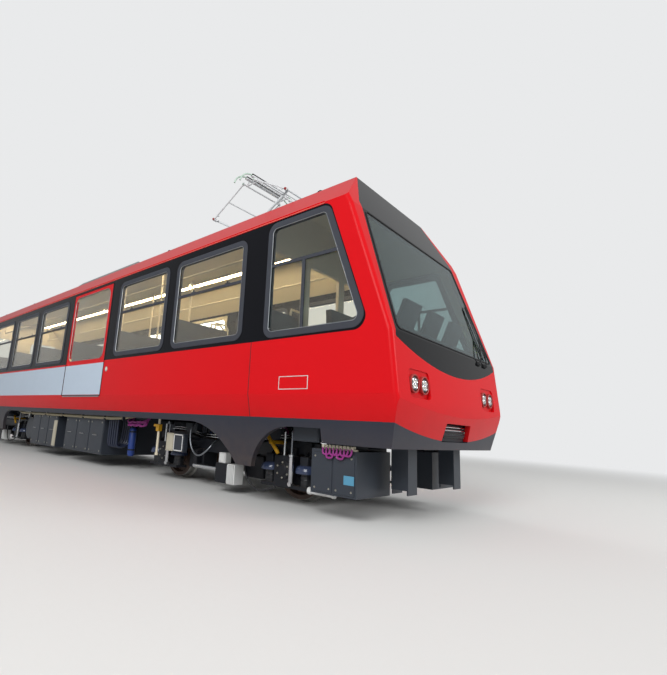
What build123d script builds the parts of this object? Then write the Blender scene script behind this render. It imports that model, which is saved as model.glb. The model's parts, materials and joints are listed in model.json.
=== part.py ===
"""Rack railway motor car: hollow body with a raked cab, two bogies with rack wheelsets, diamond pantograph.

Millimetres. +X points to the cab, +Y to the left, +Z up. The wheel flanges touch z = 0 and the origin is
under the middle of the car.
"""
import math
import os

from build123d import *

# Driving sizes of the track and the wheels
FLANGE_DEPTH = 27.0
RAIL_TOP = FLANGE_DEPTH
WHEEL_RADIUS = 330.0
WHEEL_INNER_FACE = 465.0
WHEEL_WIDTH = 125.0
AXLE_HEIGHT = RAIL_TOP + WHEEL_RADIUS

# Driving sizes of the body
BODY_WIDTH = 2600.0
BODY_LENGTH = 13610.0
ROOF_FLAT_WIDTH = 1600.0
WALL = 60.0
GLASS = 14.0
LEAN_ANGLE = 13.0
HALF_WIDTH = BODY_WIDTH / 2

# Heights of the body's lines
TOOTH_FOOT = RAIL_TOP + 345.0
FRONT_SKIRT_FOOT = RAIL_TOP + 655.0
SKIRT_FOOT = RAIL_TOP + 790.0
RED_FOOT = RAIL_TOP + 872.0
CREASE = RAIL_TOP + 1107.0
FLOOR_TOP = CREASE
WAIST = RAIL_TOP + 1674.0
CANTRAIL = RAIL_TOP + 3050.0
ROOF_TOP = RAIL_TOP + 3550.0

# Lengths along the car, measured back from the foot of the windshield
NOSE_FOOT_X = 6880.0
NOSE_TIP_AHEAD = 60.0
REAR_X = NOSE_FOOT_X + NOSE_TIP_AHEAD - BODY_LENGTH
CAB_JOINT_X = NOSE_FOOT_X - 1690.0

# Raked front, as x ahead of the foot of the windshield and z
CHIN_LEAN_ANGLE = 15.0
CHIN_BULGE = 45.0
FRONT_WALL = 70.0
CORNER_RADIUS = 45.0
WINDSHIELD_FOOT = RAIL_TOP + 1657.0
WINDSHIELD_HEAD = RAIL_TOP + 2970.0
HEADER_SETBACK = 710.0
HEAD_SETBACK = 433.0

# Bogies
WHEELBASE = 2290.0
BOGIE_X = (NOSE_FOOT_X - 2645.0, NOSE_FOOT_X - 11120.0)
BOGIE_NAMES = ("front", "rear")


def lean_in(z):
    """Distance that the lower wall stands in from the full half width at height z."""
    return max(0.0, CREASE - z) * math.tan(math.radians(LEAN_ANGLE))


def side_prism(corners, y_low, y_high):
    """Solid with a straight-lined side-view outline, between two planes across the car."""
    with BuildPart() as prism:
        with BuildSketch(Plane.XZ.offset(-y_high)):
            with BuildLine():
                Polyline(*corners, close=True)
            make_face()
        extrude(amount=y_high - y_low)
    return prism.part


def car_form(inset, front_inset):
    """Closed form of the whole body, or with insets the hollow inside its walls."""
    foot = TOOTH_FOOT - inset
    half = HALF_WIDTH - inset
    foot_half = half - lean_in(foot)
    roof_half = ROOF_FLAT_WIDTH / 2 - inset * math.tan(math.radians(22.5))
    bevel_half = HALF_WIDTH - inset
    bevel_z = CANTRAIL - inset * math.tan(math.radians(22.5))
    roof_z = ROOF_TOP - inset
    nose = NOSE_FOOT_X - front_inset
    chin_run = CREASE - TOOTH_FOOT
    chin_slope = math.tan(math.radians(CHIN_LEAN_ANGLE))
    chin_x = nose + NOSE_TIP_AHEAD - chin_run * chin_slope
    wide = HALF_WIDTH + 100.0
    far_back = REAR_X - 1500.0
    with BuildPart() as form:
        with BuildSketch(Plane.YZ.offset(REAR_X + inset)):
            with BuildLine():
                Polyline(
                    (-foot_half, foot), (foot_half, foot), (half, CREASE), (bevel_half, bevel_z),
                    (roof_half, roof_z), (-roof_half, roof_z), (-bevel_half, bevel_z), (-half, CREASE),
                    close=True,
                )
            make_face()
        extrude(amount=BODY_LENGTH + 200.0)
        with BuildSketch(Plane.XZ):
            with BuildLine():
                Polyline(
                    (REAR_X, foot), (nose + NOSE_TIP_AHEAD + 75.0, foot),
                    (nose, WINDSHIELD_FOOT), (nose - HEAD_SETBACK, WINDSHIELD_HEAD),
                    (nose - HEADER_SETBACK, ROOF_TOP), (REAR_X, ROOF_TOP), close=True,
                )
            make_face()
        extrude(amount=wide, both=True, mode=Mode.INTERSECT)
        with BuildSketch(Plane.XY.offset(TOOTH_FOOT - inset)):
            with BuildLine():
                ThreePointArc((chin_x, -wide), (chin_x + CHIN_BULGE, 0), (chin_x, wide))
                Polyline((chin_x, wide), (far_back, wide), (far_back, -wide), (chin_x, -wide))
            make_face()
        extrude(amount=ROOF_TOP * 1.2, dir=(chin_slope, 0, 1), mode=Mode.INTERSECT)
    return form.part


def behind_nose(distance):
    """x of a point that lies this far behind the foot of the windshield."""
    return NOSE_FOOT_X - distance


def front_prism(corners, x_low, x_high, radius=0.0):
    """Solid with a front-view outline, rounded where a radius is given, between two x."""
    with BuildPart() as prism:
        with BuildSketch(Plane.YZ.offset(x_low)) as outline:
            with BuildLine():
                Polyline(*corners, close=True)
            make_face()
            if radius > 0.0:
                fillet(outline.vertices(), radius)
        extrude(amount=x_high - x_low)
    return prism.part


def box_between(x_low, x_high, y_low, y_high, z_low, z_high):
    """Box given by its six sides."""
    size = (x_high - x_low, y_high - y_low, z_high - z_low)
    middle = ((x_low + x_high) / 2, (y_low + y_high) / 2, (z_low + z_high) / 2)
    return Pos(*middle) * Box(*size, mode=Mode.PRIVATE)


# Closed form of the body with its rounded front corners, and the hollow inside its walls
square_form = car_form(0.0, 0.0)
corner_edges = [
    edge for edge in square_form.edges()
    if edge.center().X > NOSE_FOOT_X - 600 and abs(edge.center().Y) > 1250 and abs(edge.tangent_at(0.5).Z) > 0.3
]
with BuildPart() as body_walls:
    add(square_form.fillet(CORNER_RADIUS, corner_edges))
    add(car_form(WALL, FRONT_WALL), mode=Mode.SUBTRACT)

# Joint lines between the panels
BAND_HEAD = CANTRAIL - 20.0
BAND_FRONT_FOOT = 198.0
BAND_FRONT_HEAD = 679.0
SURROUND_DEPTH = 260.0
REAR_INSIDE_X = REAR_X + WALL
FAR = 400.0
SKIRT_JOINT_X = behind_nose(760.0)
ROOF_FRONT_GAP = 90.0


def roof_front_x(z):
    """x of the roof's front edge, which runs parallel to the header."""
    share = (z - WINDSHIELD_HEAD) / (ROOF_TOP - WINDSHIELD_HEAD)
    return behind_nose(HEAD_SETBACK + (HEADER_SETBACK - HEAD_SETBACK) * share) - ROOF_FRONT_GAP


roof_region = side_prism(
    [(REAR_INSIDE_X, BAND_HEAD), (roof_front_x(BAND_HEAD), BAND_HEAD),
     (roof_front_x(ROOF_TOP + FAR), ROOF_TOP + FAR), (REAR_INSIDE_X, ROOF_TOP + FAR)],
    -HALF_WIDTH - FAR, HALF_WIDTH + FAR,
)

with BuildPart() as band_region:
    with BuildSketch(Plane.XZ) as band_outline:
        with BuildLine():
            Polyline(
                (REAR_INSIDE_X, WAIST), (behind_nose(BAND_FRONT_FOOT), WAIST),
                (behind_nose(BAND_FRONT_HEAD), BAND_HEAD), (REAR_INSIDE_X, BAND_HEAD), close=True,
            )
        make_face()
        fillet(band_outline.vertices().sort_by(Axis.X)[2:], 125.0)
    extrude(amount=HALF_WIDTH + FAR, both=True)
    add(box_between(REAR_X, NOSE_FOOT_X, -HALF_WIDTH + WALL + 5, HALF_WIDTH - WALL - 5, WAIST, BAND_HEAD),
        mode=Mode.SUBTRACT)

# Black surround of the windshield, whose foot is one arc across the nose
SURROUND_HALF_FOOT = 1230.0
SURROUND_CORNER_Z = RAIL_TOP + 1600.0
SURROUND_MIDDLE_Z = RAIL_TOP + 1385.0
HEADER_HALF_FOOT = 1095.0
HEADER_FOOT = RAIL_TOP + 3060.0
HEADER_HALF_TOP = 780.0
with BuildPart() as surround_region:
    with BuildSketch(Plane.YZ.offset(behind_nose(1000.0))):
        with BuildLine():
            ThreePointArc(
                (-SURROUND_HALF_FOOT, SURROUND_CORNER_Z), (0, SURROUND_MIDDLE_Z),
                (SURROUND_HALF_FOOT, SURROUND_CORNER_Z),
            )
            Polyline(
                (SURROUND_HALF_FOOT, SURROUND_CORNER_Z), (HEADER_HALF_FOOT, HEADER_FOOT),
                (HEADER_HALF_TOP, ROOF_TOP + 1), (-HEADER_HALF_TOP, ROOF_TOP + 1),
                (-HEADER_HALF_FOOT, HEADER_FOOT), (-SURROUND_HALF_FOOT, SURROUND_CORNER_Z),
            )
        make_face()
    extrude(amount=1200.0)
    add(roof_region, mode=Mode.SUBTRACT)

WINDSHIELD_HALF_FOOT = 1175.0
WINDSHIELD_HALF_HEAD = 1060.0
WINDSHIELD_MARGIN = 25.0
windshield_region = front_prism(
    [(-WINDSHIELD_HALF_FOOT, WINDSHIELD_FOOT + WINDSHIELD_MARGIN),
     (WINDSHIELD_HALF_FOOT, WINDSHIELD_FOOT + WINDSHIELD_MARGIN),
     (WINDSHIELD_HALF_HEAD, WINDSHIELD_HEAD - WINDSHIELD_MARGIN),
     (-WINDSHIELD_HALF_HEAD, WINDSHIELD_HEAD - WINDSHIELD_MARGIN)],
    behind_nose(1000.0), behind_nose(-FAR), 50.0,
)

with BuildPart() as windshield_surround:
    add(body_walls.part)
    add(surround_region.part, mode=Mode.INTERSECT)
    add(windshield_region, mode=Mode.SUBTRACT)

with BuildPart() as windshield:
    add(square_form)
    add(car_form(GLASS, GLASS), mode=Mode.SUBTRACT)
    add(windshield_region, mode=Mode.INTERSECT)

# Lower edge of the red chin: straight along the sides, one arc across the nose, with the coupler cut-out
CHIN_HALF = 1250.0
CHIN_DROP = 140.0
CUTOUT_HALF_FOOT = 330.0
CUTOUT_HALF_HEAD = 300.0
CUTOUT_FOOT = RED_FOOT - CHIN_DROP
CUTOUT_HEAD = RAIL_TOP + 908.0
with BuildPart() as chin_drop:
    with BuildSketch(Plane.YZ.offset(behind_nose(110.0))):
        with BuildLine():
            ThreePointArc((-CHIN_HALF, RED_FOOT), (0, RED_FOOT - CHIN_DROP), (CHIN_HALF, RED_FOOT))
            Line((CHIN_HALF, RED_FOOT), (-CHIN_HALF, RED_FOOT))
        make_face()
    extrude(amount=300.0)
cutout = front_prism(
    [(-CUTOUT_HALF_FOOT, CUTOUT_FOOT), (CUTOUT_HALF_FOOT, CUTOUT_FOOT),
     (CUTOUT_HALF_HEAD, CUTOUT_HEAD), (-CUTOUT_HALF_HEAD, CUTOUT_HEAD)],
    behind_nose(400.0), behind_nose(-FAR),
)

LAMP_HALF_SPACING = (763.0, 955.0)
LAMP_Z = RAIL_TOP + 1220.0
LAMP_RADIUS = 68.0
LAMP_RECESS_WIDTH = 400.0
LAMP_RECESS_HEIGHT = 250.0
LAMP_RECESS_FLOOR_X = NOSE_FOOT_X + 22.0
lamp_middle = sum(LAMP_HALF_SPACING) / 2

with BuildPart() as cab_shell:
    add(body_walls.part)
    add(box_between(CAB_JOINT_X, NOSE_FOOT_X + FAR, -2000, 2000, RED_FOOT, ROOF_TOP + 10), mode=Mode.INTERSECT)
    with BuildPart(mode=Mode.PRIVATE) as chin_tip:
        add(body_walls.part)
        add(chin_drop.part, mode=Mode.INTERSECT)
    add(chin_tip.part)
    add([roof_region, band_region.part, surround_region.part, cutout], mode=Mode.SUBTRACT)
    with BuildSketch(Plane.YZ.offset(LAMP_RECESS_FLOOR_X)):
        with Locations((-lamp_middle, LAMP_Z), (lamp_middle, LAMP_Z)):
            RectangleRounded(LAMP_RECESS_WIDTH, LAMP_RECESS_HEIGHT, 45.0)
    extrude(amount=FAR, mode=Mode.SUBTRACT)

with BuildPart() as headlights:
    for side in (-1, 1):
        for spacing in LAMP_HALF_SPACING:
            with BuildSketch(Plane.YZ.offset(LAMP_RECESS_FLOOR_X)):
                with Locations((side * spacing, LAMP_Z)):
                    Circle(LAMP_RADIUS)
            extrude(amount=18.0)
    fillet(headlights.faces().group_by(Axis.X)[-1].edges(), 8.0)

# Roof and rear wall
with BuildPart() as roof:
    add(body_walls.part)
    add(roof_region, mode=Mode.INTERSECT)

REAR_WINDOW_MIDDLE = 640.0
WINDOW_FOOT = RAIL_TOP + 1720.0
WINDOW_HEIGHT = 1210.0
WINDOW_RADIUS = 120.0
WINDOW_MIDDLE_Z = WINDOW_FOOT + WINDOW_HEIGHT / 2
REAR_WINDOW_WIDTH = 800.0
with BuildPart() as rear_wall:
    add(body_walls.part)
    add(box_between(REAR_X - 10, REAR_INSIDE_X, -2000, 2000, RED_FOOT, ROOF_TOP + 10), mode=Mode.INTERSECT)
    with BuildSketch(Plane.YZ.offset(REAR_X)):
        with Locations((-REAR_WINDOW_MIDDLE, WINDOW_MIDDLE_Z), (REAR_WINDOW_MIDDLE, WINDOW_MIDDLE_Z)):
            RectangleRounded(REAR_WINDOW_WIDTH, WINDOW_HEIGHT, WINDOW_RADIUS)
    extrude(amount=WALL, mode=Mode.SUBTRACT)

with BuildPart() as rear_windows:
    with BuildSketch(Plane.YZ.offset(REAR_X + 10)):
        with Locations((-REAR_WINDOW_MIDDLE, WINDOW_MIDDLE_Z), (REAR_WINDOW_MIDDLE, WINDOW_MIDDLE_Z)):
            RectangleRounded(REAR_WINDOW_WIDTH, WINDOW_HEIGHT, WINDOW_RADIUS)
    extrude(amount=GLASS)

# Side windows, as distances of their front edges behind the nose, and the door
WINDOW_FRONT_EDGES = (1860.0, 3450.0, 6850.0, 8430.0, 10020.0, 11610.0)
WINDOW_WIDTH = 1400.0
FRAME_WIDTH = 60.0
FRAME_PROUD = 8.0
TRANSOM_Z = RAIL_TOP + 2420.0
TRANSOM_HEIGHT = 36.0
DOOR_FRONT_EDGE = 5125.0
DOOR_WIDTH = 1500.0
DOOR_HEAD = RAIL_TOP + 2990.0
DOOR_THICKNESS = 50.0
DOOR_WINDOW_WIDTH = 1330.0
DOOR_MIDDLE_X = behind_nose(DOOR_FRONT_EDGE + DOOR_WIDTH / 2)
GLASS_OUTER_Y = HALF_WIDTH - 10.0

# Cab side window: upright rear edge and raked front edge, with its bars
CAB_WINDOW_CORNERS = [
    (behind_nose(1510.0), RAIL_TOP + 1700.0), (behind_nose(222.0), RAIL_TOP + 1700.0),
    (behind_nose(684.0), RAIL_TOP + 3000.0), (behind_nose(1510.0), RAIL_TOP + 3000.0),
]
CAB_TRANSOM_Z = RAIL_TOP + 2500.0
CAB_MULLION_X = behind_nose(990.0)


def window_outlines(shrink):
    """Draws the outlines of one side's windows, smaller by shrink all round, in the sketch at hand."""
    for front_edge in WINDOW_FRONT_EDGES:
        with Locations((behind_nose(front_edge + WINDOW_WIDTH / 2), WINDOW_MIDDLE_Z)):
            RectangleRounded(WINDOW_WIDTH - 2 * shrink, WINDOW_HEIGHT - 2 * shrink, WINDOW_RADIUS - shrink)
    with BuildSketch(Plane.XZ, mode=Mode.PRIVATE) as cab_window:
        with BuildLine():
            Polyline(*CAB_WINDOW_CORNERS, close=True)
        make_face()
        fillet(cab_window.vertices(), WINDOW_RADIUS)
        if shrink > 0.0:
            offset(amount=-shrink, mode=Mode.REPLACE)
    add(cab_window.sketch_local)


with BuildPart() as window_band_right:
    add(body_walls.part)
    add(band_region.part, mode=Mode.INTERSECT)
    add(box_between(REAR_X, NOSE_FOOT_X, 0, 2000, 0, ROOF_TOP), mode=Mode.SUBTRACT)
    add(box_between(behind_nose(DOOR_FRONT_EDGE + DOOR_WIDTH), behind_nose(DOOR_FRONT_EDGE), -2000, 0, 0,
                    DOOR_HEAD), mode=Mode.SUBTRACT)
    with BuildSketch(Plane.XZ.offset(HALF_WIDTH - WALL - 10)):
        window_outlines(0.0)
    extrude(amount=WALL + 20, mode=Mode.SUBTRACT)

with BuildPart() as window_frames_right:
    with BuildSketch(Plane.XZ.offset(HALF_WIDTH - WALL)):
        window_outlines(0.0)
    extrude(amount=WALL + FRAME_PROUD)
    with BuildSketch(Plane.XZ.offset(HALF_WIDTH - WALL)):
        window_outlines(FRAME_WIDTH)
    extrude(amount=WALL + FRAME_PROUD, mode=Mode.SUBTRACT)
    for front_edge in WINDOW_FRONT_EDGES:
        add(box_between(behind_nose(front_edge + WINDOW_WIDTH - FRAME_WIDTH + 5),
                        behind_nose(front_edge + FRAME_WIDTH - 5),
                        -HALF_WIDTH - 4, -GLASS_OUTER_Y, TRANSOM_Z - TRANSOM_HEIGHT / 2,
                        TRANSOM_Z + TRANSOM_HEIGHT / 2))
    add(box_between(behind_nose(1460.0), behind_nose(560.0), -HALF_WIDTH - 4, -GLASS_OUTER_Y,
                    CAB_TRANSOM_Z - TRANSOM_HEIGHT / 2, CAB_TRANSOM_Z + TRANSOM_HEIGHT / 2))
    add(box_between(CAB_MULLION_X - 18, CAB_MULLION_X + 18, -HALF_WIDTH - 4, -GLASS_OUTER_Y,
                    RAIL_TOP + 1750.0, CAB_TRANSOM_Z))

with BuildPart() as window_glass_right:
    with BuildSketch(Plane.XZ.offset(GLASS_OUTER_Y - GLASS)):
        window_outlines(FRAME_WIDTH)
        with Locations((DOOR_MIDDLE_X, WINDOW_MIDDLE_Z)):
            RectangleRounded(DOOR_WINDOW_WIDTH, WINDOW_HEIGHT, WINDOW_RADIUS)
    extrude(amount=GLASS)

with BuildPart() as door_right:
    add(box_between(behind_nose(DOOR_FRONT_EDGE + DOOR_WIDTH), behind_nose(DOOR_FRONT_EDGE),
                    -HALF_WIDTH, -HALF_WIDTH + DOOR_THICKNESS, FLOOR_TOP, DOOR_HEAD))
    with BuildSketch(Plane.XZ.offset(HALF_WIDTH - WALL)):
        with Locations((DOOR_MIDDLE_X, WINDOW_MIDDLE_Z)):
            RectangleRounded(DOOR_WINDOW_WIDTH, WINDOW_HEIGHT, WINDOW_RADIUS)
    extrude(amount=WALL, mode=Mode.SUBTRACT)

with BuildPart() as side_panel_right:
    add(body_walls.part)
    add(box_between(REAR_INSIDE_X, CAB_JOINT_X, -2000, 0, RED_FOOT, WAIST), mode=Mode.INTERSECT)
    add(box_between(behind_nose(DOOR_FRONT_EDGE + DOOR_WIDTH), behind_nose(DOOR_FRONT_EDGE), -2000, 0,
                    FLOOR_TOP, WAIST + 10), mode=Mode.SUBTRACT)

# Skirts with an arch before and behind the tooth of each bogie, as distances from the bogie's middle
ARCH_REAR_START = -100.0
ARCH_REAR_SHOULDER = (360.0, 640.0)
TOOTH_REAR = 650.0
TOOTH_FRONT = 890.0
ARCH_FRONT_SHOULDER = (1075.0, 625.0)
ARCH_FRONT_END = 1480.0
with BuildPart() as skirt_right:
    add(body_walls.part)
    with BuildSketch(Plane.XZ) as skirt_outline:
        with Locations(((REAR_INSIDE_X + SKIRT_JOINT_X) / 2, (SKIRT_FOOT + RED_FOOT) / 2)):
            Rectangle(SKIRT_JOINT_X - REAR_INSIDE_X, RED_FOOT - SKIRT_FOOT)
        for middle in BOGIE_X:
            with BuildLine():
                ThreePointArc(
                    (middle + ARCH_REAR_START, SKIRT_FOOT),
                    (middle + ARCH_REAR_SHOULDER[0], RAIL_TOP + ARCH_REAR_SHOULDER[1]),
                    (middle + TOOTH_REAR, TOOTH_FOOT),
                )
                Line((middle + TOOTH_REAR, TOOTH_FOOT), (middle + TOOTH_FRONT, TOOTH_FOOT))
                ThreePointArc(
                    (middle + TOOTH_FRONT, TOOTH_FOOT),
                    (middle + ARCH_FRONT_SHOULDER[0], RAIL_TOP + ARCH_FRONT_SHOULDER[1]),
                    (middle + ARCH_FRONT_END, SKIRT_FOOT),
                )
                Line((middle + ARCH_FRONT_END, SKIRT_FOOT), (middle + ARCH_REAR_START, SKIRT_FOOT))
            make_face()
    extrude(amount=HALF_WIDTH + FAR, mode=Mode.INTERSECT)

with BuildPart() as front_skirt:
    add(body_walls.part)
    add(box_between(SKIRT_JOINT_X, NOSE_FOOT_X + FAR, -2000, 2000, FRONT_SKIRT_FOOT, RED_FOOT),
        mode=Mode.INTERSECT)
    add([chin_drop.part, cutout], mode=Mode.SUBTRACT)

# Underframe: floor plate, sills, cross members, and a bolster with its pivot pin over each bogie
FLOOR_THICKNESS = 60.0
FLOOR_HALF = HALF_WIDTH - WALL - lean_in(FLOOR_TOP - FLOOR_THICKNESS)
FLOOR_FRONT_X = behind_nose(70.0)
FLOOR_UNDERSIDE = FLOOR_TOP - FLOOR_THICKNESS
SILL_HALF_OUTER = HALF_WIDTH - WALL - lean_in(RED_FOOT)
SILL_WIDTH = 80.0
CROSS_MEMBER_DEPTH = 110.0
CROSS_MEMBER_PITCH = 1590.0
CROSS_MEMBERS = 8
BOLSTER_HALF_LENGTH = 170.0
BOLSTER_HALF_WIDTH = 860.0
BOLSTER_FOOT = RAIL_TOP + 812.0
PIVOT_RADIUS = 60.0
PIVOT_FOOT = RAIL_TOP + 470.0
with BuildPart() as underframe:
    add(box_between(REAR_INSIDE_X, FLOOR_FRONT_X, -FLOOR_HALF, FLOOR_HALF, FLOOR_UNDERSIDE, FLOOR_TOP))
    for side in (-1, 1):
        y_low = min(side * SILL_HALF_OUTER, side * (SILL_HALF_OUTER - SILL_WIDTH))
        add(box_between(REAR_INSIDE_X, behind_nose(250.0), y_low, y_low + SILL_WIDTH, RED_FOOT,
                        FLOOR_UNDERSIDE))
    for number in range(CROSS_MEMBERS):
        x_front = behind_nose(500.0 + number * CROSS_MEMBER_PITCH)
        add(box_between(x_front - 90, x_front, -SILL_HALF_OUTER + SILL_WIDTH, SILL_HALF_OUTER - SILL_WIDTH,
                        FLOOR_UNDERSIDE - CROSS_MEMBER_DEPTH, FLOOR_UNDERSIDE))
    for middle in BOGIE_X:
        add(box_between(middle - BOLSTER_HALF_LENGTH, middle + BOLSTER_HALF_LENGTH, -BOLSTER_HALF_WIDTH,
                        BOLSTER_HALF_WIDTH, BOLSTER_FOOT, FLOOR_UNDERSIDE))
        with BuildSketch(Plane.XY.offset(PIVOT_FOOT)):
            with Locations((middle, 0)):
                Circle(PIVOT_RADIUS)
        extrude(amount=BOLSTER_FOOT - PIVOT_FOOT)

# Saloon: benches in facing pairs by the windows, and poles by the doors
BENCH_INNER_Y = 300.0
BENCH_OUTER_Y = 1215.0
SEAT_HEIGHT = 430.0
SEAT_DEPTH = 440.0
BACK_HEIGHT = 1050.0
BENCH_GAP = 20.0
POLE_RADIUS = 18.0
POLE_Y = 330.0
CEILING_Z = ROOF_TOP - WALL
BENCH_PILLARS = (1775.0, 3365.0, 4955.0, 6740.0, 8340.0, 9930.0, 11520.0, 13110.0)
with BuildPart() as saloon_fittings:
    for number, pillar in enumerate(BENCH_PILLARS):
        faces_rear = pillar != BENCH_PILLARS[-1] and pillar != 4955.0
        faces_front = pillar != BENCH_PILLARS[0] and pillar != 6740.0
        for wanted, turn in ((faces_rear, -1), (faces_front, 1)):
            if not wanted:
                continue
            x_back = behind_nose(pillar) + turn * BENCH_GAP
            outline = [
                (x_back, FLOOR_TOP + 150), (x_back + turn * 60, FLOOR_TOP), (x_back + turn * 330, FLOOR_TOP),
                (x_back + turn * 330, FLOOR_TOP + 330), (x_back + turn * (SEAT_DEPTH + 90), FLOOR_TOP + 350),
                (x_back + turn * (SEAT_DEPTH + 90), FLOOR_TOP + SEAT_HEIGHT),
                (x_back + turn * 150, FLOOR_TOP + SEAT_HEIGHT - 15), (x_back + turn * 60, FLOOR_TOP + BACK_HEIGHT),
                (x_back, FLOOR_TOP + BACK_HEIGHT),
            ]
            add(side_prism(outline, BENCH_INNER_Y, BENCH_OUTER_Y))
            add(side_prism(outline, -BENCH_OUTER_Y, -BENCH_INNER_Y))
    with BuildSketch(Plane.XY.offset(FLOOR_TOP)):
        for x_pole in (behind_nose(DOOR_FRONT_EDGE + 60), behind_nose(DOOR_FRONT_EDGE + DOOR_WIDTH - 60)):
            with Locations((x_pole, -POLE_Y), (x_pole, POLE_Y)):
                Circle(POLE_RADIUS)
    extrude(amount=CEILING_Z - FLOOR_TOP)

PARTITION_FRONT = 1690.0
PARTITION_THICKNESS = 45.0
PARTITION_WINDOW_WIDTH = 640.0
PARTITION_WINDOW_HEIGHT = 1000.0
with BuildPart() as cab_partition:
    add(car_form(WALL, FRONT_WALL))
    add(box_between(behind_nose(PARTITION_FRONT + PARTITION_THICKNESS), behind_nose(PARTITION_FRONT), -2000, 2000,
                    FLOOR_TOP, CEILING_Z), mode=Mode.INTERSECT)
    with BuildSketch(Plane.YZ.offset(behind_nose(PARTITION_FRONT + PARTITION_THICKNESS))):
        with Locations((-770, RAIL_TOP + 2350), (0, RAIL_TOP + 2350), (770, RAIL_TOP + 2350)):
            RectangleRounded(PARTITION_WINDOW_WIDTH, PARTITION_WINDOW_HEIGHT, 60)
    extrude(amount=PARTITION_THICKNESS, mode=Mode.SUBTRACT)

DESK_HALF = 1080.0
with BuildPart() as driver_place:
    add(side_prism(
        [(behind_nose(650), FLOOR_TOP + 700), (behind_nose(620), FLOOR_TOP + 620), (behind_nose(480), FLOOR_TOP),
         (behind_nose(120), FLOOR_TOP), (behind_nose(120), FLOOR_TOP + 560), (behind_nose(230), FLOOR_TOP + 720),
         (behind_nose(420), FLOOR_TOP + 790)],
        -DESK_HALF, DESK_HALF,
    ))
    add(side_prism(
        [(behind_nose(1480), FLOOR_TOP + 1150), (behind_nose(1430), FLOOR_TOP + 400), (behind_nose(1290), FLOOR_TOP + 380),
         (behind_nose(1270), FLOOR_TOP), (behind_nose(1120), FLOOR_TOP), (behind_nose(1120), FLOOR_TOP + 380),
         (behind_nose(940), FLOOR_TOP + 400), (behind_nose(940), FLOOR_TOP + 500), (behind_nose(1330), FLOOR_TOP + 490),
         (behind_nose(1400), FLOOR_TOP + 1150)],
        -240, 240,
    ))

# Couplers: a box with a bumper plate in the nose, and a drawbar with its plate at the inner end
FRONT_COUPLER_HALF = 290.0
with BuildPart() as front_coupler:
    add(box_between(behind_nose(420), behind_nose(30), -FRONT_COUPLER_HALF, FRONT_COUPLER_HALF,
                    CUTOUT_FOOT + 5, CUTOUT_HEAD - 8))
    add(box_between(behind_nose(30), behind_nose(10), -FRONT_COUPLER_HALF, FRONT_COUPLER_HALF,
                    CUTOUT_FOOT + 60, CUTOUT_HEAD - 50))
    add(box_between(behind_nose(420), behind_nose(330), -180, 180, CUTOUT_HEAD - 20, FLOOR_UNDERSIDE))

REAR_COUPLER_X = -(NOSE_FOOT_X + 70.0)
DRAWBAR_Z = RAIL_TOP + 700.0
COUPLING_PIN_RADIUS = 26.0
with BuildPart() as rear_coupler:
    add(box_between(REAR_X, REAR_X + 400, -160, 160, DRAWBAR_Z + 60, RED_FOOT))
    add(box_between(REAR_INSIDE_X, REAR_X + 400, -160, 160, RED_FOOT, FLOOR_UNDERSIDE))
    with BuildSketch(Plane.YZ.offset(REAR_COUPLER_X + 40)):
        with Locations((0, DRAWBAR_Z)):
            Circle(48)
    extrude(amount=REAR_X + 300 - REAR_COUPLER_X - 40)
    add(box_between(REAR_X + 200, REAR_X + 300, -90, 90, DRAWBAR_Z - 20, DRAWBAR_Z + 60))
    add(box_between(REAR_COUPLER_X, REAR_COUPLER_X + 130, -75, 75, DRAWBAR_Z - 60, DRAWBAR_Z + 60))
    with BuildSketch(Plane.XY.offset(DRAWBAR_Z - 60)):
        with Locations((REAR_COUPLER_X + 62, 0)):
            Circle(COUPLING_PIN_RADIUS)
    extrude(amount=120, mode=Mode.SUBTRACT)

# Equipment under the floor, as front and rear distances behind the nose, half width, foot and head
EQUIPMENT = (
    ("rear case", 7140.0, 8440.0, 1090.0, 150.0, 790.0),
    ("front case", 5250.0, 6740.0, 1090.0, 165.0, 760.0),
    ("rear tank bracket", 8760.0, 9200.0, 420.0, 560.0, 1047.0),
)
TANK_RADIUS = 230.0
with BuildPart() as underfloor_equipment:
    for use, front, rear, half, foot, head in EQUIPMENT:
        add(box_between(behind_nose(rear), behind_nose(front), -half, half, RAIL_TOP + foot, RAIL_TOP + head))
    for front, rear in ((5250.0, 6740.0), (7140.0, 8440.0)):
        for x_hanger in (front + 200, rear - 200):
            add(box_between(behind_nose(x_hanger + 40), behind_nose(x_hanger - 40), -1000, 1000, RAIL_TOP + 740,
                            FLOOR_UNDERSIDE))
    with BuildSketch(Plane.XZ.offset(-950.0)):
        with Locations((behind_nose(8980.0), RAIL_TOP + 440.0)):
            Circle(TANK_RADIUS)
    extrude(amount=1900.0)
    for edge_y in (-950.0, 950.0):
        y_low = min(edge_y * 0.4, edge_y * 0.6)
        add(box_between(behind_nose(9020), behind_nose(8940), y_low, y_low + 190, RAIL_TOP + 600, FLOOR_UNDERSIDE))

RAIL_GUARD_FOOT = RAIL_TOP + 230.0
with BuildPart() as rail_guards:
    for side in (-1, 1):
        y_low = min(side * 480, side * 1080)
        add(box_between(behind_nose(960), behind_nose(450), y_low, y_low + 600, RAIL_TOP + 190, RAIL_TOP + 600))
        add(box_between(behind_nose(900), behind_nose(610), y_low + 150, y_low + 450, RAIL_TOP + 600,
                        FLOOR_UNDERSIDE))
        y_plate = min(side * 440, side * 620)
        for x_plate in (340.0, 190.0):
            add(box_between(behind_nose(x_plate + 14), behind_nose(x_plate), y_plate, y_plate + 180,
                            RAIL_GUARD_FOOT, FLOOR_UNDERSIDE))
        add(box_between(behind_nose(360), behind_nose(190), y_plate, y_plate + 14, RAIL_GUARD_FOOT + 40,
                        FLOOR_UNDERSIDE))

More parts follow.
